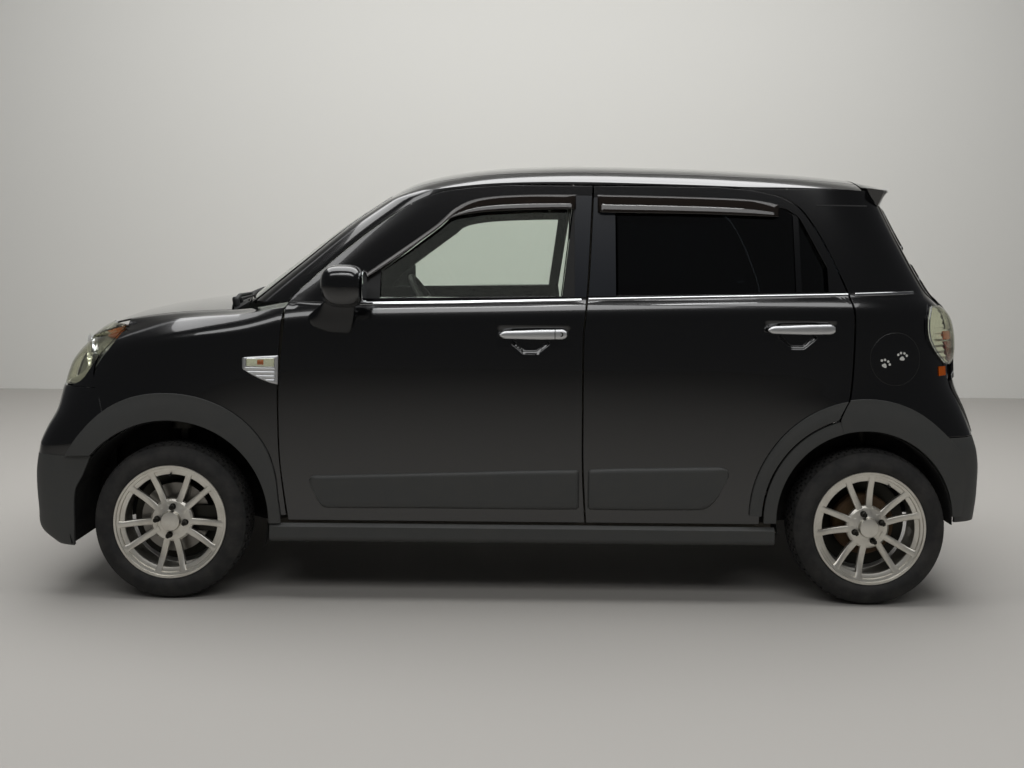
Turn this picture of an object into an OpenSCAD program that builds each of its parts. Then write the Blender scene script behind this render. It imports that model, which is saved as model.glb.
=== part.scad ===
// Five-door kei hatchback. The nose points along -X, the left side along -Y, the ground is at Z = 0.

/* [Overall] */
// Overall length of the body
body_l = 3395; // [3300:1:3480]
// Width of the painted body at its widest
body_w = 1450; // [1420:1:1475]
// Height of the roof skin at its crown
roof_h = 1570; // [1540:1:1620]
// Wheelbase
wheelbase = 2455; // [2435:1:2475]
// Distance from the front end of the body to the front axle
front_overhang = 510; // [495:1:525]

/* [Wheels] */
// Tyre radius under load, which is also the axle height
tyre_r = 273; // [266:1:278]
// Tyre section width
tyre_w = 156; // [145:1:165]
// Track, centre to centre of the tyres
track = 1305; // [1285:1:1315]
// Radius of the rim's outer flange
rim_r = 195; // [190:1:200]
// Rim width between the outside faces of its flanges
rim_w = 136; // [128:1:144]
// Bolt circle diameter of the wheel nuts
bolt_pcd = 100; // [98:1:114]
// Spoke pairs on each wheel
spoke_pairs = 5; // [4:1:6]
// Half angle between the two spokes of a pair
spoke_half_angle = 14; // [12:0.5:16]
// Spoke width at the face
spoke_w = 15; // [12:1:18]
// Steering angle each way
steer_angle = 33; // [20:1:35]

/* [Joints] */
// Distance of each steering axis from the middle of the car
steer_axis_y = 548; // [540:1:556]
// How far a front door opens
front_door_open = 62; // [50:1:68]
// How far a rear door opens
rear_door_open = 66; // [50:1:70]
// How far the bonnet opens
bonnet_open = 50; // [35:1:60]
// How far the tailgate opens
gate_open = 78; // [60:1:84]

/* [Panels] */
// Thickness of a whole door below the belt line
door_t = 70; // [60:1:80]
// Thickness of a door's window frame
frame_t = 32; // [28:1:38]
// Gap between one panel and the next
shut_gap = 6; // [5:0.5:8]
// Sheet thickness of wings, bonnet and bumpers
skin_t = 9; // [6:0.5:14]
// Depth of the body side pressings and of the tailgate
pillar_t = 44; // [36:1:52]
// Glass thickness
glass_t = 4; // [3:0.5:6]
// How far the plastic cladding stands out of the paint
clad_t = 12; // [8:0.5:12.5]
// Clearance between the cladding or a trim and the panel that it is fixed to
seat_gap = 0.3; // [0.2:0.1:0.6]

/* [Heights] */
// Height of the belt line above the middle of the car
belt_h = 1057; // [1040:1:1075]
// Bottom edge of the doors
door_bottom = 284; // [270:1:300]
// Bottom edge of the sill cladding
sill_bottom = 204; // [190:1:215]
// Underside of the floor
floor_h = 212; // [200:1:225]

/* [Hidden] */

half_l = body_l / 2;
half_w = body_w / 2;
front_x = -half_l + front_overhang;
rear_x = front_x + wheelbase;
axle_z = tyre_r;
wheel_y = track / 2;

paint = [0.07, 0.08, 0.08];
grey_plastic = [0.25, 0.26, 0.25];
glass_tint = [0.3, 0.35, 0.33];
bright = [0.8, 0.81, 0.82];
alloy = [0.75, 0.73, 0.66];
black_plastic = [0.1, 0.1, 0.1];
trim_beige = [0.45, 0.43, 0.4];

// Small helpers for smooth curves through a few stations
function clamp01(v) = min(1, max(0, v));
function mix(a, b, t) = a + (b - a) * t;
function seg(tb, v, i = 0) = (i >= len(tb) - 2 || v < tb[i + 1][0]) ? i : seg(tb, v, i + 1);
function knot_slope(tb, i) =
    let (a = max(0, i - 1), b = min(len(tb) - 1, i + 1)) (tb[b][1] - tb[a][1]) / (tb[b][0] - tb[a][0]);
function curve(tb, v) =
    let (
        w = min(tb[len(tb) - 1][0], max(tb[0][0], v)),
        i = seg(tb, w),
        h = tb[i + 1][0] - tb[i][0],
        s = (w - tb[i][0]) / h,
        m0 = knot_slope(tb, i) * h,
        m1 = knot_slope(tb, i + 1) * h
    )
    (2 * s ^ 3 - 3 * s ^ 2 + 1) * tb[i][1] + (s ^ 3 - 2 * s ^ 2 + s) * m0
    + (3 * s ^ 2 - 2 * s ^ 3) * tb[i + 1][1] + (s ^ 3 - s ^ 2) * m1;

// Side view: the belt line, which falls away along the front wing
belt_line = [[-1700, -210], [-1600, -169], [-1500, -137], [-1390, -108], [-1229, -80], [-1102, -67], [-941, -54],
    [-790, -28], [-640, -17.6], [0, 0], [1700, 46.8]];
function belt(x) = belt_h + curve(belt_line, x);

// Plan view: how far the body reaches ahead and behind at each height, as a share of half its length
nose_reach = [[170, 0.945], [230, 0.988], [300, 0.995], [430, 1], [527, 0.993], [593, 0.983], [650, 0.972],
    [721, 0.973], [803, 0.961], [853, 0.947], [901, 0.928], [935, 0.908], [961, 0.884], [1000, 0.83], [1040, 0.77]];
tail_reach = [[170, 0.945], [230, 0.98], [330, 0.995], [430, 1], [500, 1], [600, 0.99], [657, 0.983],
    [723, 0.975], [781, 0.966], [931, 0.965], [989, 0.959], [1026, 0.95], [1053, 0.937], [1091, 0.917],
    [1270, 0.861], [1400, 0.825], [1480, 0.807], [1520, 0.8]];
screen_reach = [[1030, 0.611], [1185, 0.491], [1326, 0.381], [1447, 0.269], [1490, 0.225]];
// How square the plan is at its corners, for the nose, the windscreen and the tail
nose_square = [[540, 20], [620, 14], [720, 9], [950, 6.5]];
tail_square = [[540, 18], [640, 13], [760, 9], [1060, 8.5]];
NOSE = 0;
SCREEN = 1;
TAIL = 2;
function zone_at(x, z) = x > 0 ? TAIL : z > belt(x) ? SCREEN : NOSE;
function reach(zone, z) = half_l * curve([nose_reach, screen_reach, tail_reach][zone], z);
function square_x(zone, z) = zone == TAIL ? curve(tail_square, z) : zone == SCREEN ? 12 : curve(nose_square, z);
function square_y(zone, z) = zone == SCREEN ? 2.6 : square_x(zone, z);

// Front view: the side of the car, with a rounded shoulder under the belt line and sides that lean in above it
belt_inset = 32;
shoulder_depth = 80;
lean = 0.19;
function shoulder_in(x) = 24 + 40 * clamp01((-790 - x) / 600);
function section(x, z) =
    let (d = belt(x) - z)
    d >= 0
        ? half_w - 1 - 7 * ((z - 660) / 400) ^ 2 - shoulder_in(x) * clamp01(1 - d / shoulder_depth) ^ 2
        : half_w - belt_inset - lean * -d - 0.00004 * d * d;
function taper(x) = 1 - 0.03 * clamp01((x - 900) / 800) ^ 2;

// Half width of the body at a place along it and a height
function side_y(x, z) =
    let (zone = zone_at(x, z))
    section(x, z) * taper(x) * (1 - min(1, abs(x) / reach(zone, z)) ^ square_x(zone, z)) ^ (1 / square_y(zone, z));

// A point on the wrapped outline at height z: turn 0 is dead astern, 180 dead ahead, 90 the left side
function power(c, n) = sign(c) * abs(c) ^ (2 / n);
// A sunk point keeps its place along a flat side and its distance from the middle across a flat end
function hoop(zone, turn, z, sink = 0) =
    let (x = (reach(zone, z) - sink * cos(turn) ^ 2) * power(cos(turn), square_x(zone, z)))
    [x, -(section(x, z) * taper(x) - sink * sin(turn) ^ 2) * power(sin(turn), square_y(zone, z)), z];
function turn_at_x(zone, x, z) = acos(sign(x) * min(1, abs(x) / reach(zone, z)) ^ (square_x(zone, z) / 2));
function turn_at_y(zone, y, z) =
    let (s = asin(min(1, y / section(zone == TAIL ? 1300 : -700, z)) ^ (square_y(zone, z) / 2)))
    zone == TAIL ? s : 180 - s;

// Roof and bonnet as heights over the plan
roof_line = [[-480, -138], [-380, -81], [-300, -54], [-200, -33], [-80, -16], [60, -6], [250, 0], [500, -2],
    [750, -8], [1000, -21], [1150, -32], [1290, -46], [1420, -66]];
roof_fall = [[-450, 60], [-300, 66], [-231, 70], [-123, 75], [21, 79], [300, 84], [814, 84], [1000, 75],
    [1150, 66], [1290, 58], [1420, 50]];
function rim_z(x) = roof_h + curve(roof_line, x) - curve(roof_fall, x);
function rim_y(x) = side_y(x, rim_z(x));
function roof_z(x, y) = roof_h + curve(roof_line, x) - curve(roof_fall, x) * min(1, abs(y) / rim_y(x)) ^ 4.5;
bonnet_crown = 55;
bonnet_edge_y = 690;
function bonnet_z(x, y) = belt(x) + bonnet_crown * (1 - min(1, abs(y) / bonnet_edge_y) ^ 2.4);

// A closed sheet between two grids of points, front(u, v) outside and back(u, v) inside, u and v from 0 to 1
module sheet(front, back, nu, nv) {
    m = nu + 1;
    k = m * (nv + 1);
    pts = concat(
        [for (j = [0:nv], i = [0:nu]) front(i / nu, j / nv)],
        [for (j = [0:nv], i = [0:nu]) back(i / nu, j / nv)]
    );
    faces = concat(
        [for (j = [0:nv - 1], i = [0:nu - 1]) each
            let (a = j * m + i) [[a, a + m + 1, a + 1], [a, a + m, a + m + 1]]],
        [for (j = [0:nv - 1], i = [0:nu - 1]) each
            let (a = k + j * m + i) [[a, a + 1, a + m + 1], [a, a + m + 1, a + m]]],
        [for (i = [0:nu - 1]) each [[i, k + i + 1, k + i], [i, i + 1, k + i + 1]]],
        [for (i = [0:nu - 1]) each let (a = nv * m + i) [[a, k + a + 1, a + 1], [a, k + a, k + a + 1]]],
        [for (j = [0:nv - 1]) each let (a = j * m) [[a, k + a + m, a + m], [a, k + a, k + a + m]]],
        [for (j = [0:nv - 1]) each let (a = j * m + nu) [[a, a + m, k + a + m], [a, k + a + m, k + a]]]
    );
    polyhedron(pts, faces, convexity = 10);
}

// A piece of the car's left side between two upright edges, given as functions of height, on listed heights
module side_panel(rows, x_front, x_rear, outer, depth, inset, nu) {
    nv = len(rows) - 1;
    function place(u, z, sink, tuck) =
        let (x = mix(x_front(z) + tuck, x_rear(z) - tuck, u)) [x, -side_y(x, z) + sink, z];
    sheet(
        function (u, v) place(u, rows[round(v * nv)], -outer, 0),
        function (u, v) place(u, rows[round(v * nv)], depth(rows[round(v * nv)]), inset),
        nu, nv
    );
}

// A band of the wrapped outline between two turns, given as functions of height, on listed heights
module wrap_panel(zone, rows, turn_a, turn_b, outer, depth, nu) {
    nv = len(rows) - 1;
    function place(u, z, sink) =
        let (p = hoop(zone, mix(turn_a(z), turn_b(z), 1 - u), z, sink))
        zone == SCREEN ? [p[0], p[1], min(z, roof_z(p[0], p[1]) - 2)] : p;
    sheet(
        function (u, v) place(u, rows[round(v * nv)], -outer(rows[round(v * nv)])),
        function (u, v) let (z = rows[round(v * nv)]) place(u, z, is_function(depth) ? depth(z) : depth),
        nu, nv
    );
}
function even(z0, z1, n) = [for (i = [0:n]) mix(z0, z1, i / n)];
function flush(z) = 0;

// A cutter or plate with an outline in the side view, on the left side, from y0 to y1 outwards
module side_prism(points, y0, y1) {
    translate([0, -y0, 0]) rotate([90, 0, 0]) linear_extrude(y1 - y0) polygon(points);
}

// The same on both sides
module both() {
    children();
    mirror([0, 1, 0]) children();
}

// Shut lines of the doors in the side view, as [height, place] stations
front_shut = [[260, -771], [461, -801], [566, -809], [741, -813], [846, -808], [968, -798], [1045, -790],
    [1141, -696], [1221, -607], [1294, -517], [1371, -410], [1422, -320], [1450, -236], [1464, -123], [1478, 60]];
middle_shut = [[260, 271], [470, 259], [700, 257], [940, 258], [1003, 264], [1126, 276], [1478, 296]];
rear_shut = [[260, 880], [329, 886], [413, 908], [497, 953], [574, 1028], [628, 1103], [654, 1156], [689, 1186],
    [728, 1196], [812, 1206], [917, 1212], [1012, 1214], [1054, 1209], [1113, 1190], [1189, 1158], [1296, 1108],
    [1393, 1044], [1425, 1000], [1446, 946], [1468, 814], [1478, 600]];
door_top = 1472;
low_rows = [door_bottom, 345, 410, 455, 500, 545, 590, 630, 660, 695, 735, 800, 870, 940, 1000];
high_rows = [1045, 1075, 1130, 1190, 1250, 1310, 1370, 1410, 1440];
door_rows = concat(low_rows, high_rows, [door_top]);

/* Body structure */

rear_arch = [1250, 302, 309];
front_arch = [-1195, axle_z + 1, 352];
// The round opening over a wheel, and everything under its middle
module arch_cut(arch, grow, y0, depth) {
    translate([arch[0], y0, arch[1]]) rotate([-90, 0, 0]) cylinder(r = arch[2] + grow, h = depth, $fn = 96);
    translate([arch[0] - arch[2] - grow, y0, -10]) cube([2 * (arch[2] + grow), depth, arch[1] + 10]);
}

// Edge of the tailgate, as [height, half width]
gate_edge = [[600, 600], [780, 600], [850, 560], [1040, 545], [1110, 560], [1400, 515], [1500, 500]];
gate_top = 1445.7;

module side_frame() {
    color(paint) difference() {
        union() {
            wrap_panel(
                TAIL, concat([278], low_rows, high_rows, [1468]),
                function (z) turn_at_y(TAIL, curve(gate_edge, z) + shut_gap, z),
                function (z) turn_at_x(TAIL, curve(rear_shut, z) + shut_gap / 2, z),
                function (z) 0, pillar_t, 12
            );
            wrap_panel(
                SCREEN, concat([1024, 1044], high_rows, [1455]),
                function (z) turn_at_x(SCREEN, curve(front_shut, z) - shut_gap / 2, z),
                function (z) turn_at_y(SCREEN, 0.87 * section(-600, z), z),
                function (z) z < 1045 ? -30 : 0, function (z) z > 1390 ? 15 : 40, 4
            );
            roof_rail();
            // Foot of the middle pillar's top end, and the seat of the quarter on the sill
            translate([266, 169 - half_w, 1446]) cube([66, 42, 40]);
            translate([890, 11 - half_w, 276.3]) cube([44, 114, 26]);
        }
        arch_cut(rear_arch, 0, -half_w - 60, 260);
        translate([rear_arch[0], -half_w - 60, 200]) cube([600, 260, 396]);
    }
}
// Pillars and sill inside the doors, with the hinge pins
module inner_frame() {
    color(paint) {
        pillars();
        sill();
    }
    for (z = hinge_heights) {
        hinge_pin(front_door_axis_x, z);
        hinge_pin(rear_door_axis_x, z);
    }
    bonnet_bracket();
}

// Thin at the door, deep inside it, on the same stations as the roof's edge
rail_share = 0.87;
rail_steps = [0, 0.3, 0.44, 0.6, 0.8, 1];
roof_rows = 22;
function roof_x(k) = mix(screen_edge(520)[0] + 5, 1283, k / roof_rows);
module roof_rail() {
    function place(step, v, deep) =
        let (x = v == 0 ? -470 : roof_x(v * (roof_rows + 1) - 1), y = -rim_y(x) * mix(1, rail_share, step))
        [x, y, roof_z(x, y) - deep];
    function step(u) = rail_steps[round(5 * (1 - u))];
    sheet(
        function (u, v) place(step(u), v, 0),
        function (u, v) place(step(u), v, step(u) < 0.5 ? 4 : 48),
        5, roof_rows + 1
    );
}

pillar_y = half_w - 129;
module pillars() {
    // Hinge pillar and its foot behind the wing
    hull() {
        translate([-806, -pillar_y, 225]) cube([96, 33.7, 20]);
        translate([-806, -pillar_y + 10, 960]) cube([60, 23.7, 20]);
    }
    translate([-842, 75 - half_w, 225]) cube([30, 87.7, 759.7]);
    translate([-842, -pillar_y, 225]) cube([60, 33.7, 700]);
    // Middle pillar behind the two doors
    hull() {
        translate([215, -pillar_y, 225]) cube([130, 33.7, 20]);
        translate([232, 12 - pillar_y, belt_h - 10]) cube([112, 26, 20]);
    }
    hull() {
        translate([232, 12 - pillar_y, belt_h]) cube([112, 26, 20]);
        translate([266, 44 - pillar_y, 1425.7]) cube([64, 34, 20]);
    }
}

module sill() {
    translate([-842, -660, floor_h]) cube([1776, 97.7, door_bottom - floor_h - 8]);
}

// Two pins for each side door, on arms from the pillar
hinge_heights = [420, 860];
module hinge_pin(x, z) {
    translate([x - 9, -door_axis_y - 6, z]) cube([18, door_axis_y + 6 - pillar_y + 14, 8]);
    translate([x, -door_axis_y, z]) cylinder(r = 6, h = 40, $fn = 32);
}
module hinge_notch(x, z) {
    translate([x - 90, -door_axis_y - 11.5, z - 8]) cube([104, 120, 58]);
}
module hinge_eye(x, z) {
    difference() {
        union() {
            translate([x, -door_axis_y, z + 14]) cylinder(r = 10, h = 22, $fn = 32);
            translate([x, -door_axis_y - 8, z + 14]) cube([32, 16, 22]);
        }
        translate([x, -door_axis_y, z]) cylinder(r = 6.3, h = 60, $fn = 32);
    }
}
module bonnet_bracket() {
    translate([-842, -592, 960]) cube([20, 8, 50]);
    translate([bonnet_axis_x - 15, -592, bonnet_axis_z - 12]) cube([-830 - bonnet_axis_x + 15, 8, 24]);
    translate([bonnet_axis_x, -590, bonnet_axis_z]) rotate([-90, 0, 0]) cylinder(r = 5, h = 34, $fn = 32);
}

module side_frame_left() { side_frame(); }
module side_frame_right() { mirror([0, 1, 0]) side_frame(); }
module inner_frame_left() { inner_frame(); }
module inner_frame_right() { mirror([0, 1, 0]) inner_frame(); }

module roof_panel() {
    function place(u, v, deep) =
        let (
            w = mix(1, -1, u),
            front = screen_edge(w * 520)[0] + 5,
            x = mix(front, 1283, v),
            y = w * (rim_y(x) * rail_share - 4 * seat_gap)
        )
        [x, y, roof_z(x, y) - deep];
    color(paint) difference() {
        union() {
            sheet(function (u, v) place(u, v, 0), function (u, v) place(u, v, 14), 12, roof_rows);
            antenna();
        }
        both() translate([1244, -352, 1400]) cube([60, 44, 200]);
    }
    color(paint) both() translate([gate_axis_x, -358, gate_axis_z]) rotate([-90, 0, 0])
        cylinder(r = 5, h = 56, $fn = 32);
}
// Top edge of the windscreen glass at a distance from the middle
function screen_top(y) = 1446 - 22 * (y / 530) ^ 4;
function screen_edge(y, sink = 0) =
    let (z = screen_top(y)) hoop(SCREEN, turn_at_y(SCREEN, abs(y), z), z, sink);

// Folded rod antenna on its foot at the back of the roof
antenna_x = 1130;
module antenna() {
    color(black_plastic) {
        hull() {
            translate([antenna_x, 0, roof_z(antenna_x, 0) - 2]) scale(1) cylinder(r = 22, h = 2, $fn = 32);
            translate([antenna_x, 0, roof_z(antenna_x, 0) + 14]) sphere(r = 9, $fn = 32);
        }
        hull() {
            translate([antenna_x, 0, roof_z(antenna_x, 0) + 15]) sphere(r = 5, $fn = 24);
            translate([antenna_x - 245, 0, roof_z(antenna_x - 245, 0) + 15]) sphere(r = 4, $fn = 24);
        }
    }
}

module windscreen() {
    function place(u, v, sink) =
        let (
            w = mix(1, -1, u),
            edge = 0.87 * section(-600, mix(1040, 1440, v)) - 4 * seat_gap,
            y = w * edge,
            z = mix(1040, screen_top(y), v),
            p = hoop(SCREEN, turn_at_y(SCREEN, abs(y), z), z, sink)
        )
        [p[0], w > 0 ? -p[1] : p[1], z];
    color(glass_tint) sheet(function (u, v) place(u, v, 0), function (u, v) place(u, v, glass_t), 14, 8);
}

// Threaded socket for the towing eye
tow_r = 9.5;
tow_z = 350;
module floor_pan() {
    color(black_plastic) {
        translate([-860, -562, floor_h]) cube([860 + 760, 2 * 562, 24]);
        translate([-860, -562, floor_h]) cube([30, 2 * 562, 763]);
        translate([700, -562, floor_h + 20]) cube([60, 2 * 562, 154]);
        difference() {
            translate([700, -552, floor_h + 150]) cube([870, 2 * 552, 24]);
            both() {
                arch_cut(rear_arch, 8, -600, 48);
                translate([rear_x + 22, -540, floor_h]) cylinder(r = 18.5, h = 300, $fn = 48);
            }
        }
        translate([1540, -540, floor_h + 60]) cube([30, 2 * 540, 320]);
        // Front rails with the towing eye socket in the right one, radiator frame and strut towers
        difference() {
            both() translate([-1640, -440, 330]) cube([800, 40, 70]);
            translate([-1650, 420, tow_z]) rotate([0, 90, 0]) cylinder(r = tow_r, h = 70, $fn = 48);
        }
        both() {
            translate([-1500, -470, 330]) cube([30, 30, 550]);
            difference() {
                translate([front_x - 70, -612, 690]) cube([140, 200, 14]);
                translate([front_x, -steer_axis_y, 600]) cylinder(r = 20.6, h = 200, $fn = 48);
            }
            translate([front_x - 70, -440, 380]) cube([30, 30, 320]);
            translate([front_x + 40, -440, 380]) cube([30, 30, 320]);
        }
        translate([-1500, -470, 590]) cube([30, 940, 60]);
        translate([-1496, -470, 862]) cube([26, 940, 18]);
    }
}

module dashboard() {
    color(black_plastic) {
        hull() {
            translate([-829.7, -555, 880]) cube([60, 1110, 80]);
            translate([-640, -555, 740]) cube([60, 1110, 120]);
            translate([-660, -555, 920]) cube([40, 1110, 36]);
        }
        translate(wheel_hub) rotate([0, wheel_rake, 0]) {
            translate([0, 0, -330]) cylinder(r = 30, h = 330 - 24, $fn = 48);
            translate([0, 0, -60]) cylinder(r = 9, h = 58, $fn = 48);
        }
    }
}

/* Front end */

module front_wings() { color(paint) both() front_wing(); }
// Front edge of the wing: along the lamp, then the joint with the bumper
wing_nose = [[560, -1385], [600, -1408], [660, -1430], [718, -1448], [785, -1476], [845, -1464], [901, -1421],
    [961, -1392]];
module front_wing() {
    turn_in = 0.75;
    function place(u, v, sink) =
        let (
            up = min(1, v / turn_in),
            over = clamp01((v - turn_in) / (1 - turn_in)),
            look = mix(300, 960, up),
            x = mix(curve(wing_nose, look), curve(front_shut, look) - shut_gap / 2, u),
            edge = side_y(x, belt(x)),
            y = mix(edge, bonnet_side(x) + shut_gap, over)
        )
        over == 0
            ? [x, -side_y(x, mix(300, belt(x), up)) + sink, mix(300, belt(x), up) - (up == 1 ? sink : 0)]
            : [x, -y, mix(belt(x), bonnet_z(x, y), over * (2 - over)) - sink];
    difference() {
        union() {
            sheet(function (u, v) place(u, v, 0), function (u, v) place(u, v, skin_t), 12, 16);
            translate([-840, -716, 600]) cube([24, 65.7, 40]);
        }
        arch_cut(front_arch, 0, -half_w - 60, 400);
        translate([front_x - 400, -half_w - 60, 0]) cube([400, 400, 540]);
        translate([-905, -672, 960]) cube([200, 200, 200]);
    }
}
function bonnet_side(x) = mix(520, 600, clamp01((x + 1500) / 500));

// Plan of the bonnet's two ends, both bowed forward
function bonnet_front(y) = -1528 + 78 * (y / 560) ^ 2;
function bonnet_rear(y) = -1092 + 84 * (y / 600) ^ 2;
bonnet_axis_x = -960;
bonnet_axis_z = 1000;
module bonnet() {
    function place(u, v, sink) =
        let (
            w = mix(1, -1, u),
            x = mix(bonnet_front(w * 560), bonnet_rear(w * 600), v),
            y = w * bonnet_side(x)
        )
        [x, y, bonnet_z(x, y) - 20 * clamp01((-1430 - x) / 100) ^ 2 - sink];
    color(paint) {
        sheet(function (u, v) place(u, v, 0), function (u, v) place(u, v, skin_t), 14, 12);
        both() difference() {
            hull() {
                translate([bonnet_axis_x, -580, bonnet_axis_z]) rotate([-90, 0, 0])
                    cylinder(r = 11, h = 20, $fn = 32);
                translate([-1050, -580, 994]) cube([30, 20, 14]);
            }
            translate([bonnet_axis_x, -600, bonnet_axis_z]) rotate([-90, 0, 0]) cylinder(r = 5.3, h = 60, $fn = 32);
        }
    }
}

bumper_split = 502;
module front_bumper() {
    color(paint) difference() {
        wrap_panel(
            NOSE, even(bumper_split + 0.3, 736, 8),
            function (z) turn_at_x(NOSE, -1440, z), function (z) 360 - turn_at_x(NOSE, -1440, z),
            function (z) 0, 24, 28
        );
        both() {
            arch_cut(front_arch, 0, -half_w - 60, 400);
            // Room for the nose of the wing
            translate([-1475, -half_w - 60, 540]) cube([100, 400, 300]);
        }
    }
    color(paint) both() translate([-1668, -340, 600]) cube([167.7, 40, 40]);
}
module front_valance() {
    color(grey_plastic) difference() {
        wrap_panel(
            NOSE, even(180, bumper_split, 8),
            function (z) turn_at_x(NOSE, -1440, z), function (z) 360 - turn_at_x(NOSE, -1440, z),
            function (z) 0, 24, 28
        );
        both() arch_cut(front_arch, 0, -half_w - 60, 400);
        translate([-1800, -330, 300]) cube([200, 660, 150]);
        both() translate([-1800, -520, 340]) rotate([0, 90, 0]) cylinder(r = 38, h = 200, $fn = 48);
        translate([-1800, 420, tow_z]) rotate([0, 90, 0]) cylinder(r = 32, h = 200, $fn = 32);
    }
    color(grey_plastic) {
        both() translate([-1675, -440, 376]) cube([34.7, 40, 24]);
        for (z = [330, 370, 410]) translate([-1688, -334, z]) cube([14, 668, 10]);
        both() translate([-1680, -520, 340]) rotate([0, 90, 0]) cylinder(r = 38.4, h = 10, $fn = 48);
    }
}

module front_grille() {
    color(black_plastic) {
        difference() {
            wrap_panel(
                NOSE, even(742, 922, 6),
                function (z) turn_at_y(NOSE, 424, z), function (z) 360 - turn_at_y(NOSE, 424, z),
                function (z) 0, 20, 14
            );
            translate([-1800, -380, 790]) cube([400, 760, 44]);
        }
        both() translate([-1595, -130, 840]) cube([94.7, 30, 36]);
        translate([-1610, -384, 806]) cube([14, 768, 10]);
    }
}

module headlamps() {
    color(bright) both() {
        wrap_panel(
            NOSE, even(742, 920, 8),
            function (z) turn_at_x(NOSE, curve(wing_nose, z) - 13, z),
            function (z) turn_at_y(NOSE, 440, z),
            function (z) 0, 46, 10
        );
        translate([-1570, -470, 800]) cube([69.7, 26, 40]);
    }
}

// Side turn lamp on its ribbed garnish, on each wing
garnish_top = [[-940, 853], [-880, 858], [-810, 861]];
garnish_low = [[-940, 826], [-891, 785], [-819, 762], [-808, 760]];
module wing_garnishes() {
    function place(u, v, off) =
        let (x = mix(-939, -818, u), z = mix(curve(garnish_low, x), curve(garnish_top, x), v))
        [x, -side_y(x, z) - off, z];
    color(bright) both() sheet(
        function (u, v) place(u, v, 6), function (u, v) place(u, v, seat_gap), 6, 5
    );
}

/* Back end */

fuel_lid_r = 92;
fuel_lid_x = half_l - 336.5;
fuel_lid_z = belt_h - 191;
module fuel_lid() {
    color(paint) intersection() {
        wrap_panel(
            TAIL, even(fuel_lid_z - 106, fuel_lid_z + 104, 7),
            function (z) turn_at_x(TAIL, fuel_lid_x + 109, z), function (z) turn_at_x(TAIL, fuel_lid_x - 111, z),
            function (z) 2.8, -1.2, 8
        );
        translate([fuel_lid_x, -75 - half_w, fuel_lid_z]) rotate([-90, 0, 0])
            cylinder(r = fuel_lid_r, h = 200, $fn = 64);
    }
}
// Bar over the number plate and the rear wiper
module gate_trim() {
    color(paint) wrap_panel(
        TAIL, [716, 730, 752, 764],
        function (z) -turn_at_y(TAIL, 300, z), function (z) turn_at_y(TAIL, 300, z),
        function (z) z == 716 || z == 764 ? 10 : 24, -2.4, 12
    );
    color(black_plastic) {
        translate([1590, 0, 1086]) rotate([0, 90, 0]) cylinder(r = 16, h = 40, $fn = 32);
        hull() {
            translate([1626, 0, 1086]) sphere(r = 9, $fn = 16);
            translate([1580, -330, 1130]) sphere(r = 6, $fn = 16);
        }
    }
}

module rear_bumper() {
    color(grey_plastic) difference() {
        wrap_panel(
            TAIL, even(290, 588, 7),
            function (z) -turn_at_x(TAIL, 1400, z), function (z) turn_at_x(TAIL, 1400, z),
            function (z) 0, 24, 28
        );
        both() arch_cut(rear_arch, 0, -half_w - 60, 260);
    }
    color(grey_plastic) both() translate([1570.3, -340, 400]) cube([105, 40, 40]);
}

module tail_lamps() {
    color([0.7, 0.2, 0.2]) both() wrap_panel(
        TAIL, even(852, 1036, 6),
        function (z) turn_at_y(TAIL, curve(gate_edge, z) + shut_gap, z),
        function (z) turn_at_x(TAIL, 1500, z),
        function (z) 12, -0.9, 10
    );
}

gate_axis_x = 1266;
gate_axis_z = 1506;
gate_glass_low = 1118;
gate_glass_high = 1420;
module tailgate() {
    color(paint) difference() {
        wrap_panel(
            TAIL, concat([596, 650, 700, 750, 790, 850, 940, 1000], [for (z = high_rows) if (z < 1430) z], [gate_top]),
            function (z) -turn_at_y(TAIL, curve(gate_edge, z), z),
            function (z) turn_at_y(TAIL, curve(gate_edge, z), z),
            function (z) 0, pillar_t, 18
        );
        gate_window(0);
    }
}
module gate_window(grow) {
    hull() for (s = [-1, 1]) {
        translate([1300, s * 470, gate_glass_low + 30]) rotate([0, 90, 0])
            cylinder(r = 30 + grow, h = 400, $fn = 24);
        translate([1200, s * 430, gate_glass_high - 30]) rotate([0, 90, 0])
            cylinder(r = 30 + grow, h = 400, $fn = 24);
    }
}
module tailgate_glass() {
    color(glass_tint) intersection() {
        wrap_panel(
            TAIL, even(1080, 1440, 6),
            function (z) -turn_at_y(TAIL, 520, z), function (z) turn_at_y(TAIL, 520, z),
            function (z) -10, 10 + glass_t, 12
        );
        gate_window(-seat_gap);
    }
}

// Spoiler over the top of the tailgate, with the two hinge eyes on its front edge
module tailgate_spoiler() {
    spoiler_side = 498;
    function place(u, v, under) =
        let (x = mix(1297, 1404, v), y = mix(1, -1, u) * spoiler_side)
        [x, y, under ? mix(1446, 1470, max(0, (v - 0.7) / 0.3)) : max(roof_z(x, y), 1474)];
    color(paint) {
        sheet(function (u, v) place(u, v, false), function (u, v) place(u, v, true), 14, 5);
        both() difference() {
            union() {
                translate([gate_axis_x, -342, gate_axis_z]) rotate([-90, 0, 0]) cylinder(r = 11, h = 24, $fn = 32);
                translate([gate_axis_x, -342, gate_axis_z - 11]) cube([40, 24, 16]);
            }
            translate([gate_axis_x, -360, gate_axis_z]) rotate([-90, 0, 0]) cylinder(r = 5.3, h = 60, $fn = 32);
        }
    }
}

/* Doors */

front_door_axis_x = -736;
rear_door_axis_x = 322;
door_axis_y = half_w - 19;
function door_depth(z) = z > 1046 ? frame_t : door_t;

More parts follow.
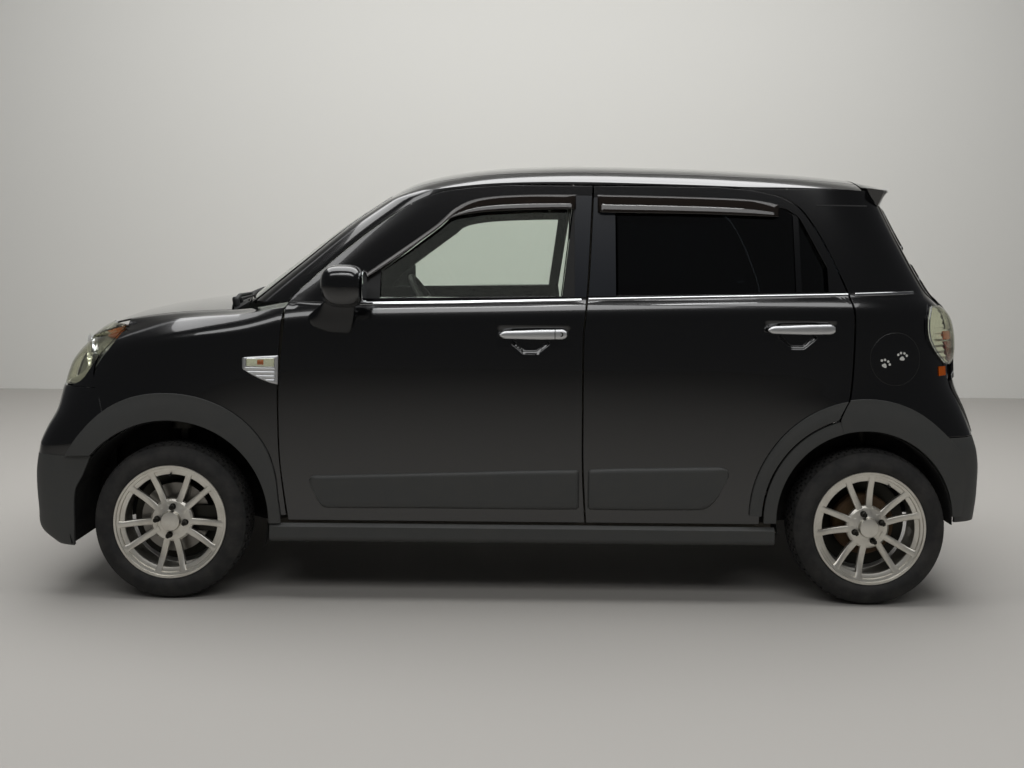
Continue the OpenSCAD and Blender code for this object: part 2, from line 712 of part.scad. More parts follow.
module front_door_panel() {
    color(paint) {
        difference() {
            side_panel(
                door_rows,
                function (z) curve(front_shut, z) + shut_gap / 2,
                function (z) curve(middle_shut, z) - shut_gap / 2,
                0, function (z) door_depth(z), 12, 14
            );
            front_window(0);
            for (z = hinge_heights) hinge_notch(front_door_axis_x, z);
        }
        for (z = hinge_heights) hinge_eye(front_door_axis_x, z);
    }
}
front_window_points = [[-575, 1052], [-545, 1115], [-405, 1215], [-263, 1318], [-200, 1375], [-120, 1408],
    [40, 1422], [226, 1424], [222, 1380], [186, 1072]];
module front_window(grow) {
    side_prism_offset(front_window_points, grow);
}
module side_prism_offset(points, grow) {
    translate([0, 225 - half_w, 0]) rotate([90, 0, 0]) linear_extrude(260) offset(delta = grow) polygon(points);
}
rear_window_points = [[371, 1076], [374, 1424], [900, 1412], [990, 1396], [1034, 1366], [1126, 1185], [1127, 1090]];

module rear_door_panel() {
    color(paint) {
        difference() {
            side_panel(
                door_rows,
                function (z) curve(middle_shut, z) + shut_gap / 2,
                function (z) curve(rear_shut, z) - shut_gap / 2,
                0, function (z) door_depth(z), 12, 14
            );
            side_prism_offset(rear_window_points, 0);
            for (z = hinge_heights) hinge_notch(rear_door_axis_x, z);
        }
        for (z = hinge_heights) hinge_eye(rear_door_axis_x, z);
    }
}

module front_door_glass() {
    color(glass_tint) intersection() {
        side_panel(
            [1040, 1130, 1220, 1310, 1380, 1440], function (z) -620, function (z) 240,
            -14, function (z) 14 + glass_t, 0, 8
        );
        side_prism_offset(front_window_points, -seat_gap);
    }
}
module rear_door_glass() {
    color(glass_tint) intersection() {
        side_panel(
            [1060, 1130, 1220, 1310, 1380, 1440], function (z) 360, function (z) 1140,
            -14, function (z) 14 + glass_t, 0, 8
        );
        side_prism_offset(rear_window_points, -seat_gap);
    }
}

// Lower door cladding, door pull and rain visor of the front door
module front_door_trim() {
    color(grey_plastic) side_panel(
        even(324, 470, 2), function (z) mix(-650, -700, (z - 324) / 146), function (z) 248,
        clad_t, function (z) -seat_gap, 0, 12
    );
    color(bright) {
        door_pull(80, 948);
        moulding(belt_strip, -530, 250, 10, 7, 10);
    }
    color(black_plastic) visor(front_visor_low, front_visor_top, -560, 232, 13);
}
module rear_door_trim() {
    color(grey_plastic) {
        side_panel(
            even(332, 480, 2), function (z) 275, function (z) mix(690, 755, (z - 332) / 148),
            clad_t, function (z) -seat_gap, 0, 8
        );
        flare(rear_arch, door_flare, -88, -12, 11);
    }
    color(bright) {
        door_pull(1018, 970);
        moulding(belt_strip, 278, 1184, 10, 7, 10);
    }
    color(black_plastic) {
        visor(rear_visor_low, rear_visor_top, 310, 1008, 8);
        side_panel([1098, 1150, 1250, 1372], function (z) 1012, function (z) 1032, 5, function (z) -seat_gap, 0, 1);
    }
}
// Bright strip along the foot of the side windows, as [place, height]
belt_strip = [[-536, 1041], [265, 1064], [1184, 1090]];
// The strip stands this far out from the crease that it covers
strip_off = 3.4;
module moulding(line, x0, x1, height, out, n) {
    function place(u, v, off) =
        let (x = mix(x0, x1, u), z = curve(line, x) + (v - 0.5) * height) [x, -side_y(x, z) - off, z];
    sheet(function (u, v) place(u, v, out), function (u, v) place(u, v, strip_off), n, 1);
}
// Rain visors over the side windows: edges as [place, height]
front_visor_low = [[-560, 1092], [-544, 1111], [-405, 1206], [-263, 1311], [-221, 1347], [-156, 1365], [-49, 1377],
    [165, 1386], [272, 1387]];
front_visor_top = [[-560, 1114], [-545, 1127], [-405, 1227], [-263, 1331], [-200, 1389], [-120, 1422],
    [40, 1437], [272, 1440]];
rear_visor_low = [[310, 1376], [700, 1373], [1008, 1362]];
rear_visor_top = [[310, 1440], [900, 1427], [960, 1419], [1008, 1398]];
module visor(low, top, x0, x1, n) {
    function place(u, v, off) =
        let (x = mix(x0, x1, u), z = mix(curve(low, x), curve(top, x), v)) [x, -side_y(x, z) - off, z];
    function out(v) = mix(16, 5, v ^ 2);
    sheet(
        function (u, v) place(u, v, out(v)),
        function (u, v) place(u, v, v == 1 ? seat_gap : out(v) - 3), n, 3
    );
}
pull_l = 236;
module door_pull(x, z) {
    translate([x, -side_y(x, z) - 24, z]) hull() {
        translate([-pull_l / 2 + 10, 0, -2]) sphere(r = 9, $fn = 16);
        translate([pull_l / 2 - 12, 0, 0]) sphere(r = 12, $fn = 16);
    }
    for (s = [-1, 1], px = [x + s * (pull_l / 2 - 26)]) translate([px, -side_y(x, z) - 24, z])
        rotate([-90, 0, 0]) cylinder(r = 8, h = 23.4 + side_y(x, z) - side_y(px, z), $fn = 24);
}

module mirror_body() {
    color(paint) {
        hull() {
            translate([-600, -778, 1072]) sphere(r = 36, $fn = 20);
            translate([-596, -868, 1070]) sphere(r = 32, $fn = 20);
            translate([-578, -862, 1146]) sphere(r = 36, $fn = 20);
            translate([-584, -778, 1148]) sphere(r = 36, $fn = 20);
            translate([-530, -858, 1110]) rotate([0, 90, 0]) cylinder(r = 40, h = 34, $fn = 20);
            translate([-530, -784, 1110]) rotate([0, 90, 0]) cylinder(r = 42, h = 34, $fn = 20);
        }
        hull() {
            translate([-700, -side_y(-640, 960) - 10, 950]) cube([130, 8.7, 40]);
            translate([-625, -790, 1040]) cube([90, 50, 20]);
        }
    }
}

module front_door_left() { front_door_panel(); }
module front_door_right() { mirror([0, 1, 0]) front_door_panel(); }
module rear_door_left() { rear_door_panel(); }
module rear_door_right() { mirror([0, 1, 0]) rear_door_panel(); }
module front_door_glass_left() { front_door_glass(); }
module front_door_glass_right() { mirror([0, 1, 0]) front_door_glass(); }
module rear_door_glass_left() { rear_door_glass(); }
module rear_door_glass_right() { mirror([0, 1, 0]) rear_door_glass(); }
module front_door_trim_left() { front_door_trim(); }
module front_door_trim_right() { mirror([0, 1, 0]) front_door_trim(); }
module rear_door_trim_left() { rear_door_trim(); }
module rear_door_trim_right() { mirror([0, 1, 0]) rear_door_trim(); }
module mirror_left() { mirror_body(); }
module mirror_right() { mirror([0, 1, 0]) mirror_body(); }

/* Cladding */

// Inner and outer radius of each flare at an angle from upright, towards the rear
front_flare = [[-62, 354, 424], [-47, 354, 435], [-24, 354, 453], [0, 354, 450], [32, 354, 445], [52, 354, 432],
    [66, 354, 412], [78, 354, 396], [92, 354, 398]];
rear_flare = [[-92, 311, 354], [-14, 311, 354], [-9, 311, 356]];
door_flare = [[-90, 373, 406], [-70, 367, 408], [-55, 363, 409], [-30, 362, 415], [-12, 362, 420]];
rear_flare_back = [[-7, 311, 424], [20, 311, 424], [40, 311, 417], [62, 311, 412], [84, 311, 350]];
module body_cladding() {
    color(grey_plastic) both() {
        sill_cladding();
        flare(front_arch, front_flare, -62, 90, 20);
        flare(rear_arch, rear_flare, -92, -9, 11);
        flare(rear_arch, rear_flare_back, -7, 60, 12);
    }
}
function flare_lift(x) = 2 * seat_gap + 1.4 * clamp01((abs(x) - 1380) / 60);
module sill_cladding() {
    translate([-836, -half_w - 4, sill_bottom]) cube([1770, half_w + 4 - 660.3, 64]);
}
module flare(arch, edges, from, to, n) {
    inner = [for (e = edges) [e[0], e[1]]];
    outer = [for (e = edges) [e[0], e[2]]];
    function place(u, v, out) =
        let (
            a = mix(from, to, u),
            r = mix(curve(inner, a), curve(outer, a), v),
            px = arch[0] + r * sin(a),
            pz = arch[1] + r * cos(a)
        )
        [px, -side_y(px, pz) - out, pz];
    function lift(u, v) = flare_lift(place(u, v, 0)[0]);
    sheet(function (u, v) place(u, v, clad_t), function (u, v) place(u, v, lift(u, v)), n, 2);
}

// Liners over the wheels
module arch_liners() {
    color(black_plastic) both() {
        liner(front_arch, 562, 0.3) translate([front_x, -steer_axis_y, 500]) cylinder(r = 62, h = 300, $fn = 48);
        liner(rear_arch, 562, 0.3) translate([0, 0, -10]) cube(1);
    }
}
module liner(arch, y1, gap) {
    difference() {
        translate([arch[0], -716, arch[1]]) rotate([-90, 0, 0])
            cylinder(r = arch[2] - gap, h = 716 - y1, $fn = 96);
        translate([arch[0], -720, arch[1]]) rotate([-90, 0, 0])
            cylinder(r = arch[2] - gap - 6, h = 720 - y1 + 20, $fn = 96);
        translate([arch[0] - 400, -730, arch[1] - 500]) cube([800, 300, 505]);
        children();
    }
}

/* Inside */

module front_seats() { color(trim_beige) both() seat(60, 340, 480); }
module seat(x, y, w) {
    seat_base = floor_h + 24.3;
    hull() {
        translate([x - 420, -y - w / 2, 440]) cube([80, w, 90]);
        translate([x - 20, -y - w / 2, 420]) cube([80, w, 90]);
    }
    hull() {
        translate([x, -y - w / 2 + 10, 500]) cube([110, w - 20, 40]);
        translate([x + 190, -y - w / 2 + 40, 1010]) cube([70, w - 80, 40]);
    }
    translate([x + 190, -y - 120, 1070]) cube([80, 240, 150]);
    for (s = [-1, 1]) translate([x + 225, -y + s * 50, 1040]) cylinder(r = 6, h = 40, $fn = 24);
    for (s = [-1, 1]) translate([x - 380, -y + s * 160 - 20, seat_base]) cube([400, 40, 190]);
}
module rear_seat() {
    color(trim_beige) {
        hull() {
            translate([760, -500, 470]) cube([60, 1000, 80]);
            translate([1130, -500, 450]) cube([60, 1000, 80]);
        }
        hull() {
            translate([1150, -490, 500]) cube([80, 980, 40]);
            translate([1300, -480, 980]) cube([70, 960, 40]);
        }
        translate([790, -440, floor_h + 174.3]) cube([380, 880, 80]);
    }
}
wheel_hub = [-353, 340, 970];
wheel_rake = 55.4;
module steering_wheel() {
    color(black_plastic) translate(wheel_hub) rotate([0, wheel_rake, 0]) {
        rotate_extrude($fn = 64) translate([172, 0]) circle(r = 13, $fn = 24);
        difference() {
            translate([0, 0, -18]) cylinder(r = 60, h = 36, $fn = 48);
            translate([0, 0, -30]) cylinder(r = 9.4, h = 34, $fn = 48);
        }
        for (a = [0, 90, 270]) rotate([0, 0, a]) translate([50, -14, -8]) cube([116, 28, 14]);
    }
}

/* Underneath */

module engine_block() {
    color([0.4, 0.4, 0.42]) {
        translate([-1400, -300, 240.3]) cube([350, 330, 480]);
        translate([-1370, 30, 250]) cube([300, 270, 300]);
        translate([-1420, -280, 560]) cube([390, 290, 180]);
    }
}
module exhaust() {
    color([0.5, 0.5, 0.5]) {
        translate([front_x + 170.3, -60, floor_h - 22.3]) rotate([0, 90, 0])
            cylinder(r = 22, h = 2577, $fn = 48);
        translate([1370, -60, 220]) rotate([0, 90, 0]) cylinder(r = 68, h = 160, $fn = 64);
    }
}
module fuel_tank() { color(black_plastic) translate([300, -420, floor_h - 60.3]) cube([390, 320, 60]); }

module front_suspension() {
    color([0.2, 0.2, 0.2]) {
        translate([front_x - 130, -380, 190]) cube([300, 760, 50]);
        both() {
            // Riser to the front rail, and the lower arm with its ball pin
            translate([front_x + 60, -438, 200]) cube([60, 70, 129.7]);
            hull() {
                translate([front_x - 60, -400, 196]) cube([150, 30, 14]);
                translate([front_x, -steer_axis_y, 196]) cylinder(r = 24, h = 14, $fn = 32);
            }
            translate([front_x, -steer_axis_y, 196]) cylinder(r = 9, h = 50, $fn = 32);
            // Spring on the strut
            translate([front_x, -steer_axis_y, 580]) difference() {
                cylinder(r = 52, h = 109.7, $fn = 48);
                translate([0, 0, -1]) cylinder(r = 21, h = 120, $fn = 48);
            }
            // Drive shaft
            translate([front_x, -500, axle_z + 6]) rotate([-90, 0, 0]) cylinder(r = 12, h = 199.7, $fn = 32);
        }
        translate([front_x + 150, -372, 225]) cube([20, 744, 40]);
    }
}
module rear_axle() {
    color([0.2, 0.2, 0.2]) {
        translate([rear_x - 40, -556, axle_z - 30]) cube([80, 1112, 60]);
        both() {
            translate([rear_x, -668, axle_z]) rotate([-90, 0, 0]) cylinder(r = 17.5, h = 130, $fn = 48);
            translate([760.3, -520, 250]) cube([480, 40, 42]);
            translate([rear_x, -430, 300]) cylinder(r = 50, h = floor_h + 150 - 300.3, $fn = 48);
            translate([rear_x + 22, -540, 290]) cylinder(r = 18, h = 300, $fn = 32);
        }
    }
}
// Grille at the foot of the windscreen, on its tray, with the two wiper arms
module cowl() {
    function place(u, v, sink) =
        let (
            y = mix(1, -1, u) * 545,
            z = 1039.7,
            glass = hoop(SCREEN, turn_at_y(SCREEN, abs(y), z), z, glass_t + 2)[0],
            x = mix(bonnet_rear(y) + 5, glass, v)
        )
        [x, y, mix(bonnet_z(bonnet_rear(y), y) - 16, z, v) - sink];
    color(black_plastic) {
        sheet(function (u, v) place(u, v, 0), function (u, v) place(u, v, 12), 12, 2);
        translate([-1040, -520, 975.3]) cube([210, 1040, 8]);
        translate([-1048, -340, 975.3]) cube([10, 680, 44]);
        for (p = [[-1029, -400], [-1037, 60]]) {
            translate([p[0], p[1], 1012]) cylinder(r = 9, h = 28, $fn = 24);
            hull() {
                translate([p[0], p[1], 1040]) sphere(r = 7, $fn = 16);
                translate([-1029, p[1] + 330, 1056]) sphere(r = 5, $fn = 16);
            }
        }
    }
}

/* Wheels, on the left side */

module tyre_ring() {
    color([0.05, 0.05, 0.05]) rotate([90, 0, 0]) rotate_extrude($fn = 96) {
        w = tyre_w / 2;
        bead = rim_w / 2 - 13.5;
        polygon([
            [rim_r - 17, -bead], [rim_r - 2.5, -bead - 4.5], [rim_r + 2.5, -bead - 8], [rim_r + 32, -w],
            [tyre_r - 28, -w + 6], [tyre_r - 8, -w + 18], [tyre_r, -w + 34], [tyre_r, -22], [tyre_r - 7, -20],
            [tyre_r - 7, -12], [tyre_r, -10], [tyre_r, 10], [tyre_r - 7, 12], [tyre_r - 7, 20], [tyre_r, 22],
            [tyre_r, w - 34], [tyre_r - 8, w - 18], [tyre_r - 28, w - 6], [rim_r + 32, w],
            [rim_r + 2.5, bead + 8], [rim_r - 2.5, bead + 4.5], [rim_r - 17, bead]
        ]);
    }
}
// Rim with its spokes, nuts, hub and brake disc, the outer face towards +Z before it is turned upright
hub_face = 34;
module rim(phase, bolt_phase, disc_r) {
    w = rim_w / 2;
    color(alloy) rotate([90, 0, 0]) {
        difference() {
            union() {
                rotate_extrude($fn = 96) polygon([
                    [rim_r - 17.5, -w + 12], [rim_r - 2, -w + 7], [rim_r + 1, -w], [rim_r - 3, -w],
                    [rim_r - 22, -w + 10], [rim_r - 24, w - 34], [rim_r - 20, w - 16], [rim_r - 6, w],
                    [rim_r + 1, w], [rim_r - 2, w - 7], [rim_r - 17.5, w - 12]
                ]);
                translate([0, 0, hub_face]) cylinder(r = 76, h = 20, $fn = 96);
                translate([0, 0, hub_face]) cylinder(r = 31, h = 44, $fn = 64);
                for (k = [0:spoke_pairs - 1], s = [-1, 1])
                    rotate([0, 0, phase + k * 360 / spoke_pairs + s * spoke_half_angle])
                        translate([60, -spoke_w / 2, hub_face - 4]) cube([rim_r - 22 - 60, spoke_w, 22]);
                for (k = [0:3]) rotate([0, 0, bolt_phase + k * 90])
                    translate([bolt_pcd / 2, 0, hub_face + 10]) cylinder(r = 10, h = 26, $fn = 6);
                // Hub and brake
                translate([0, 0, -42]) cylinder(r = 58, h = hub_face + 46, $fn = 72);
                translate([0, 0, -26]) cylinder(r = disc_r, h = 20, $fn = 72);
            }
            translate([0, 0, -60]) cylinder(r = 17.9, h = 80, $fn = 48);
        }
    }
}
module at_wheel(x) { translate([x, -wheel_y, axle_z]) children(); }
module front_wheel_left() { at_wheel(front_x) rim(55, 84, 122); }
module front_wheel_right() { mirror([0, 1, 0]) at_wheel(front_x) rim(55, 84, 122); }
module rear_wheel_left() { at_wheel(rear_x) rim(28.5, 110, 95); }
module rear_wheel_right() { mirror([0, 1, 0]) at_wheel(rear_x) rim(28.5, 110, 95); }
module front_tyre_left() { at_wheel(front_x) tyre_ring(); }
module front_tyre_right() { mirror([0, 1, 0]) at_wheel(front_x) tyre_ring(); }
module rear_tyre_left() { at_wheel(rear_x) tyre_ring(); }
module rear_tyre_right() { mirror([0, 1, 0]) at_wheel(rear_x) tyre_ring(); }

// Hub carrier that turns about an upright axis, with its strut, steering arm and wheel spindle
module knuckle() {
    color([0.3, 0.3, 0.3]) {
        difference() {
            translate([front_x - 38, -602, 216]) cube([76, 78, 130]);
            translate([front_x, -steer_axis_y, 200]) cylinder(r = 9.4, h = 52, $fn = 32);
            translate([front_x, -530, axle_z + 6]) rotate([-90, 0, 0]) cylinder(r = 34, h = 40, $fn = 32);
        }
        translate([front_x, -steer_axis_y, 340]) cylinder(r = 20, h = 376, $fn = 48);
        translate([front_x, -668, axle_z]) rotate([-90, 0, 0]) cylinder(r = 17.5, h = 90, $fn = 48);
        translate([front_x + 20, -540, 222]) cube([110, 22, 20]);
        // Brake caliper
        difference() {
            translate([front_x + 60, -662, axle_z - 45]) cube([90, 60, 90]);
            translate([front_x, -wheel_y + 26 + 5, axle_z]) rotate([90, 0, 0]) cylinder(r = 130, h = 30, $fn = 72);
        }
        translate([front_x + 20, -602, axle_z - 30]) cube([60, 20, 60]);
    }
}
module knuckle_left() { knuckle(); }
module knuckle_right() { mirror([0, 1, 0]) knuckle(); }

floor_pan();
side_frame_left();
side_frame_right();
inner_frame_left();
inner_frame_right();
wing_garnishes();
fuel_lid();
gate_trim();
roof_panel();
windscreen();
dashboard();
front_wings();
front_bumper();
front_valance();
front_grille();
headlamps();
rear_bumper();
tail_lamps();
body_cladding();
arch_liners();
front_seats();
rear_seat();
engine_block();
exhaust();
fuel_tank();
front_suspension();
rear_axle();
cowl();
bonnet();
tailgate();
tailgate_glass();
tailgate_spoiler();
front_door_left();
front_door_right();
front_door_glass_left();
front_door_glass_right();
front_door_trim_left();
front_door_trim_right();
mirror_left();
mirror_right();
rear_door_left();
rear_door_right();
rear_door_glass_left();
rear_door_glass_right();
rear_door_trim_left();
rear_door_trim_right();
front_wheel_left();
front_wheel_right();
rear_wheel_left();
rear_wheel_right();
front_tyre_left();
front_tyre_right();
rear_tyre_left();
rear_tyre_right();
knuckle_left();
knuckle_right();
steering_wheel();
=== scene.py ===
# Small black five-door hatchback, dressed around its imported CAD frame.
# The nose points along -X and the left side along -Y. Shapes are worked out in millimetres.
import math
import random

import bpy
import bmesh
from mathutils import Vector, Matrix


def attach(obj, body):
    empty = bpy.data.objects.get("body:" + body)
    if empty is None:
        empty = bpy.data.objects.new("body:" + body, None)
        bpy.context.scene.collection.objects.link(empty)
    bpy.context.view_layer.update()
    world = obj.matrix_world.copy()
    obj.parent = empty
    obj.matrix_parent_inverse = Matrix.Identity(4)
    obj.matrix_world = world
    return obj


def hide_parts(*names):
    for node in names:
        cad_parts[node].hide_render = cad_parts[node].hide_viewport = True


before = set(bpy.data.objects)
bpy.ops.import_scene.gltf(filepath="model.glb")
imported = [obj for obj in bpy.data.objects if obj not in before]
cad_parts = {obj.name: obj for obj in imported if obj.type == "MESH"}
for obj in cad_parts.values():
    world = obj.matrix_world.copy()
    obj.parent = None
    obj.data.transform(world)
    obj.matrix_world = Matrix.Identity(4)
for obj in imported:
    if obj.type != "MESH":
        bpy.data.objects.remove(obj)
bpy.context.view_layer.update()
mm = 0.001
print("frame loaded,", len(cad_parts), "nodes")

# The body's surfaces, the same as the CAD's

car = {
    "halfLength": 1697.5,
    "halfWidth": 725,
    "roofHeight": 1570,
    "beltHeight": 1057,
    "frontAxle": -1187.5,
    "rearAxle": 1267.5,
    "axleHeight": 273,
    "wheelY": 652.5,
    "steerY": 548,
    "doorBottom": 284,
    "doorTop": 1472,
    "shutGap": 6,
}

lines = {
    "belt": [(-1700, -210), (-1600, -169), (-1500, -137), (-1390, -108), (-1229, -80), (-1102, -67), (-941, -54),
             (-790, -28), (-640, -17.6), (0, 0), (1700, 46.8)],
    "noseReach": [(170, 0.945), (230, 0.988), (300, 0.995), (430, 1), (527, 0.993), (593, 0.983), (650, 0.972),
                  (721, 0.973), (803, 0.961), (853, 0.947), (901, 0.928), (935, 0.908), (961, 0.884), (1000, 0.83),
                  (1040, 0.77)],
    "tailReach": [(170, 0.945), (230, 0.98), (330, 0.995), (430, 1), (500, 1), (600, 0.99), (657, 0.983),
                  (723, 0.975), (781, 0.966), (931, 0.965), (989, 0.959), (1026, 0.95), (1053, 0.937),
                  (1091, 0.917), (1270, 0.861), (1400, 0.825), (1480, 0.807), (1520, 0.8)],
    "screenReach": [(1030, 0.611), (1185, 0.491), (1326, 0.381), (1447, 0.269), (1490, 0.225)],
    "noseSquare": [(540, 20), (620, 14), (720, 9), (950, 6.5)],
    "tailSquare": [(540, 18), (640, 13), (760, 9), (1060, 8.5)],
    "roofLine": [(-480, -138), (-380, -81), (-300, -54), (-200, -33), (-80, -16), (60, -6), (250, 0), (500, -2),
                 (750, -8), (1000, -21), (1150, -32), (1290, -46), (1420, -66)],
    "roofFall": [(-450, 60), (-300, 66), (-231, 70), (-123, 75), (21, 79), (300, 84), (814, 84), (1000, 75),
                 (1150, 66), (1290, 58), (1420, 50)],
    "frontShut": [(260, -771), (461, -801), (566, -809), (741, -813), (846, -808), (968, -798), (1045, -790),
                  (1141, -696), (1221, -607), (1294, -517), (1371, -410), (1422, -320), (1450, -236),
                  (1464, -123), (1478, 60)],
    "middleShut": [(260, 271), (470, 259), (700, 257), (940, 258), (1003, 264), (1126, 276), (1478, 296)],
    "rearShut": [(260, 880), (329, 886), (413, 908), (497, 953), (574, 1028), (628, 1103), (654, 1156), (689, 1186),
                 (728, 1196), (812, 1206), (917, 1212), (1012, 1214), (1054, 1209), (1113, 1190), (1189, 1158),
                 (1296, 1108), (1393, 1044), (1425, 1000), (1446, 946), (1468, 814), (1478, 600)],
    "gateEdge": [(600, 600), (780, 600), (850, 560), (1040, 545), (1110, 560), (1400, 515), (1500, 500)],
    "wingNose": [(560, -1385), (600, -1408), (660, -1430), (718, -1448), (785, -1476), (845, -1464), (901, -1421),
                 (961, -1392)],
}


def mix(a, b, t):
    return a + (b - a) * t


def clamp01(v):
    return min(1.0, max(0.0, v))


def along(stations, v):
    # A smooth curve through a few stations.
    v = min(stations[-1][0], max(stations[0][0], v))
    i = 0
    while i < len(stations) - 2 and v >= stations[i + 1][0]:
        i += 1

    def slope(k):
        a, b = stations[max(0, k - 1)], stations[min(len(stations) - 1, k + 1)]
        return (b[1] - a[1]) / (b[0] - a[0])

    (x0, y0), (x1, y1) = stations[i], stations[i + 1]
    h = x1 - x0
    s = (v - x0) / h
    return ((2 * s**3 - 3 * s**2 + 1) * y0 + (s**3 - 2 * s**2 + s) * slope(i) * h
            + (3 * s**2 - 2 * s**3) * y1 + (s**3 - s**2) * slope(i + 1) * h)


def belt(x):
    return car["beltHeight"] + along(lines["belt"], x)


def section(x, z):
    d = belt(x) - z
    if d < 0:
        return car["halfWidth"] - 32 + 0.19 * d - 0.00004 * d * d
    shoulder = 24 + 40 * clamp01((-790 - x) / 600)
    return car["halfWidth"] - 1 - 7 * ((z - 660) / 400)**2 - shoulder * clamp01(1 - d / 80)**2


def squares(zone, z):
    if zone == "screen":
        return 12, 2.6
    n = along(lines["tailSquare" if zone == "tail" else "noseSquare"], z)
    return n, n


def reach(zone, z):
    return car["halfLength"] * along(lines[zone + "Reach"], z)


def waist(x, z):
    return section(x, z) * (1 - 0.03 * clamp01((x - 900) / 800)**2)


def sideY(x, z):
    # Half width of the body at a place along it and a height.
    zone = "tail" if x > 0 else "screen" if z > belt(x) else "nose"
    a, b = squares(zone, z)
    return waist(x, z) * (1 - min(1, abs(x) / reach(zone, z))**a)**(1 / b)


def hoop(zone, turn, z, sink=0):
    # Point on the outline at one height: turn is 0 at the back, 90 on the left, 180 in front.
    a, b = squares(zone, z)
    c, s = math.cos(math.radians(turn)), math.sin(math.radians(turn))
    x = (reach(zone, z) - sink) * math.copysign(abs(c)**(2 / a), c)
    return [x, -(waist(x, z) - sink) * math.copysign(abs(s)**(2 / b), s), z]


def turnAtX(zone, x, z):
    a = squares(zone, z)[0]
    return math.degrees(math.acos(math.copysign(min(1, abs(x) / reach(zone, z))**(a / 2), x)))


def turnAtY(zone, y, z):
    b = squares(zone, z)[1]
    turn = math.degrees(math.asin(min(1, y / section(1300 if zone == "tail" else -700, z))**(b / 2)))
    return turn if zone == "tail" else 180 - turn


def rimZ(x):
    return car["roofHeight"] + along(lines["roofLine"], x) - along(lines["roofFall"], x)


def rimY(x):
    return sideY(x, rimZ(x))


def roofZ(x, y):
    return (car["roofHeight"] + along(lines["roofLine"], x)
            - along(lines["roofFall"], x) * min(1, abs(y) / rimY(x))**4.5)


def bonnetZ(x, y):
    return belt(x) + 55 * (1 - min(1, abs(y) / 690)**2.4)


# Materials

def linear(hexColor):
    # sRGB hex to the linear colour a socket wants.
    parts = [int(hexColor[i:i + 2], 16) / 255 for i in (1, 3, 5)]
    return [c / 12.92 if c <= 0.04045 else ((c + 0.055) / 1.055)**2.4 for c in parts] + [1]


def node(tree, kind, settings=None, links=None, **values):
    # Adds one node: settings are its own fields, values its sockets, links (socket, from socket).
    made = tree.nodes.new("ShaderNode" + kind)
    for key, value in (settings or {}).items():
        setattr(made, key, value)
    for key, value in values.items():
        made.inputs[key.replace("_", " ")].default_value = value
    for key, source in (links or {}).items():
        tree.links.new(source, made.inputs[key])
    return made


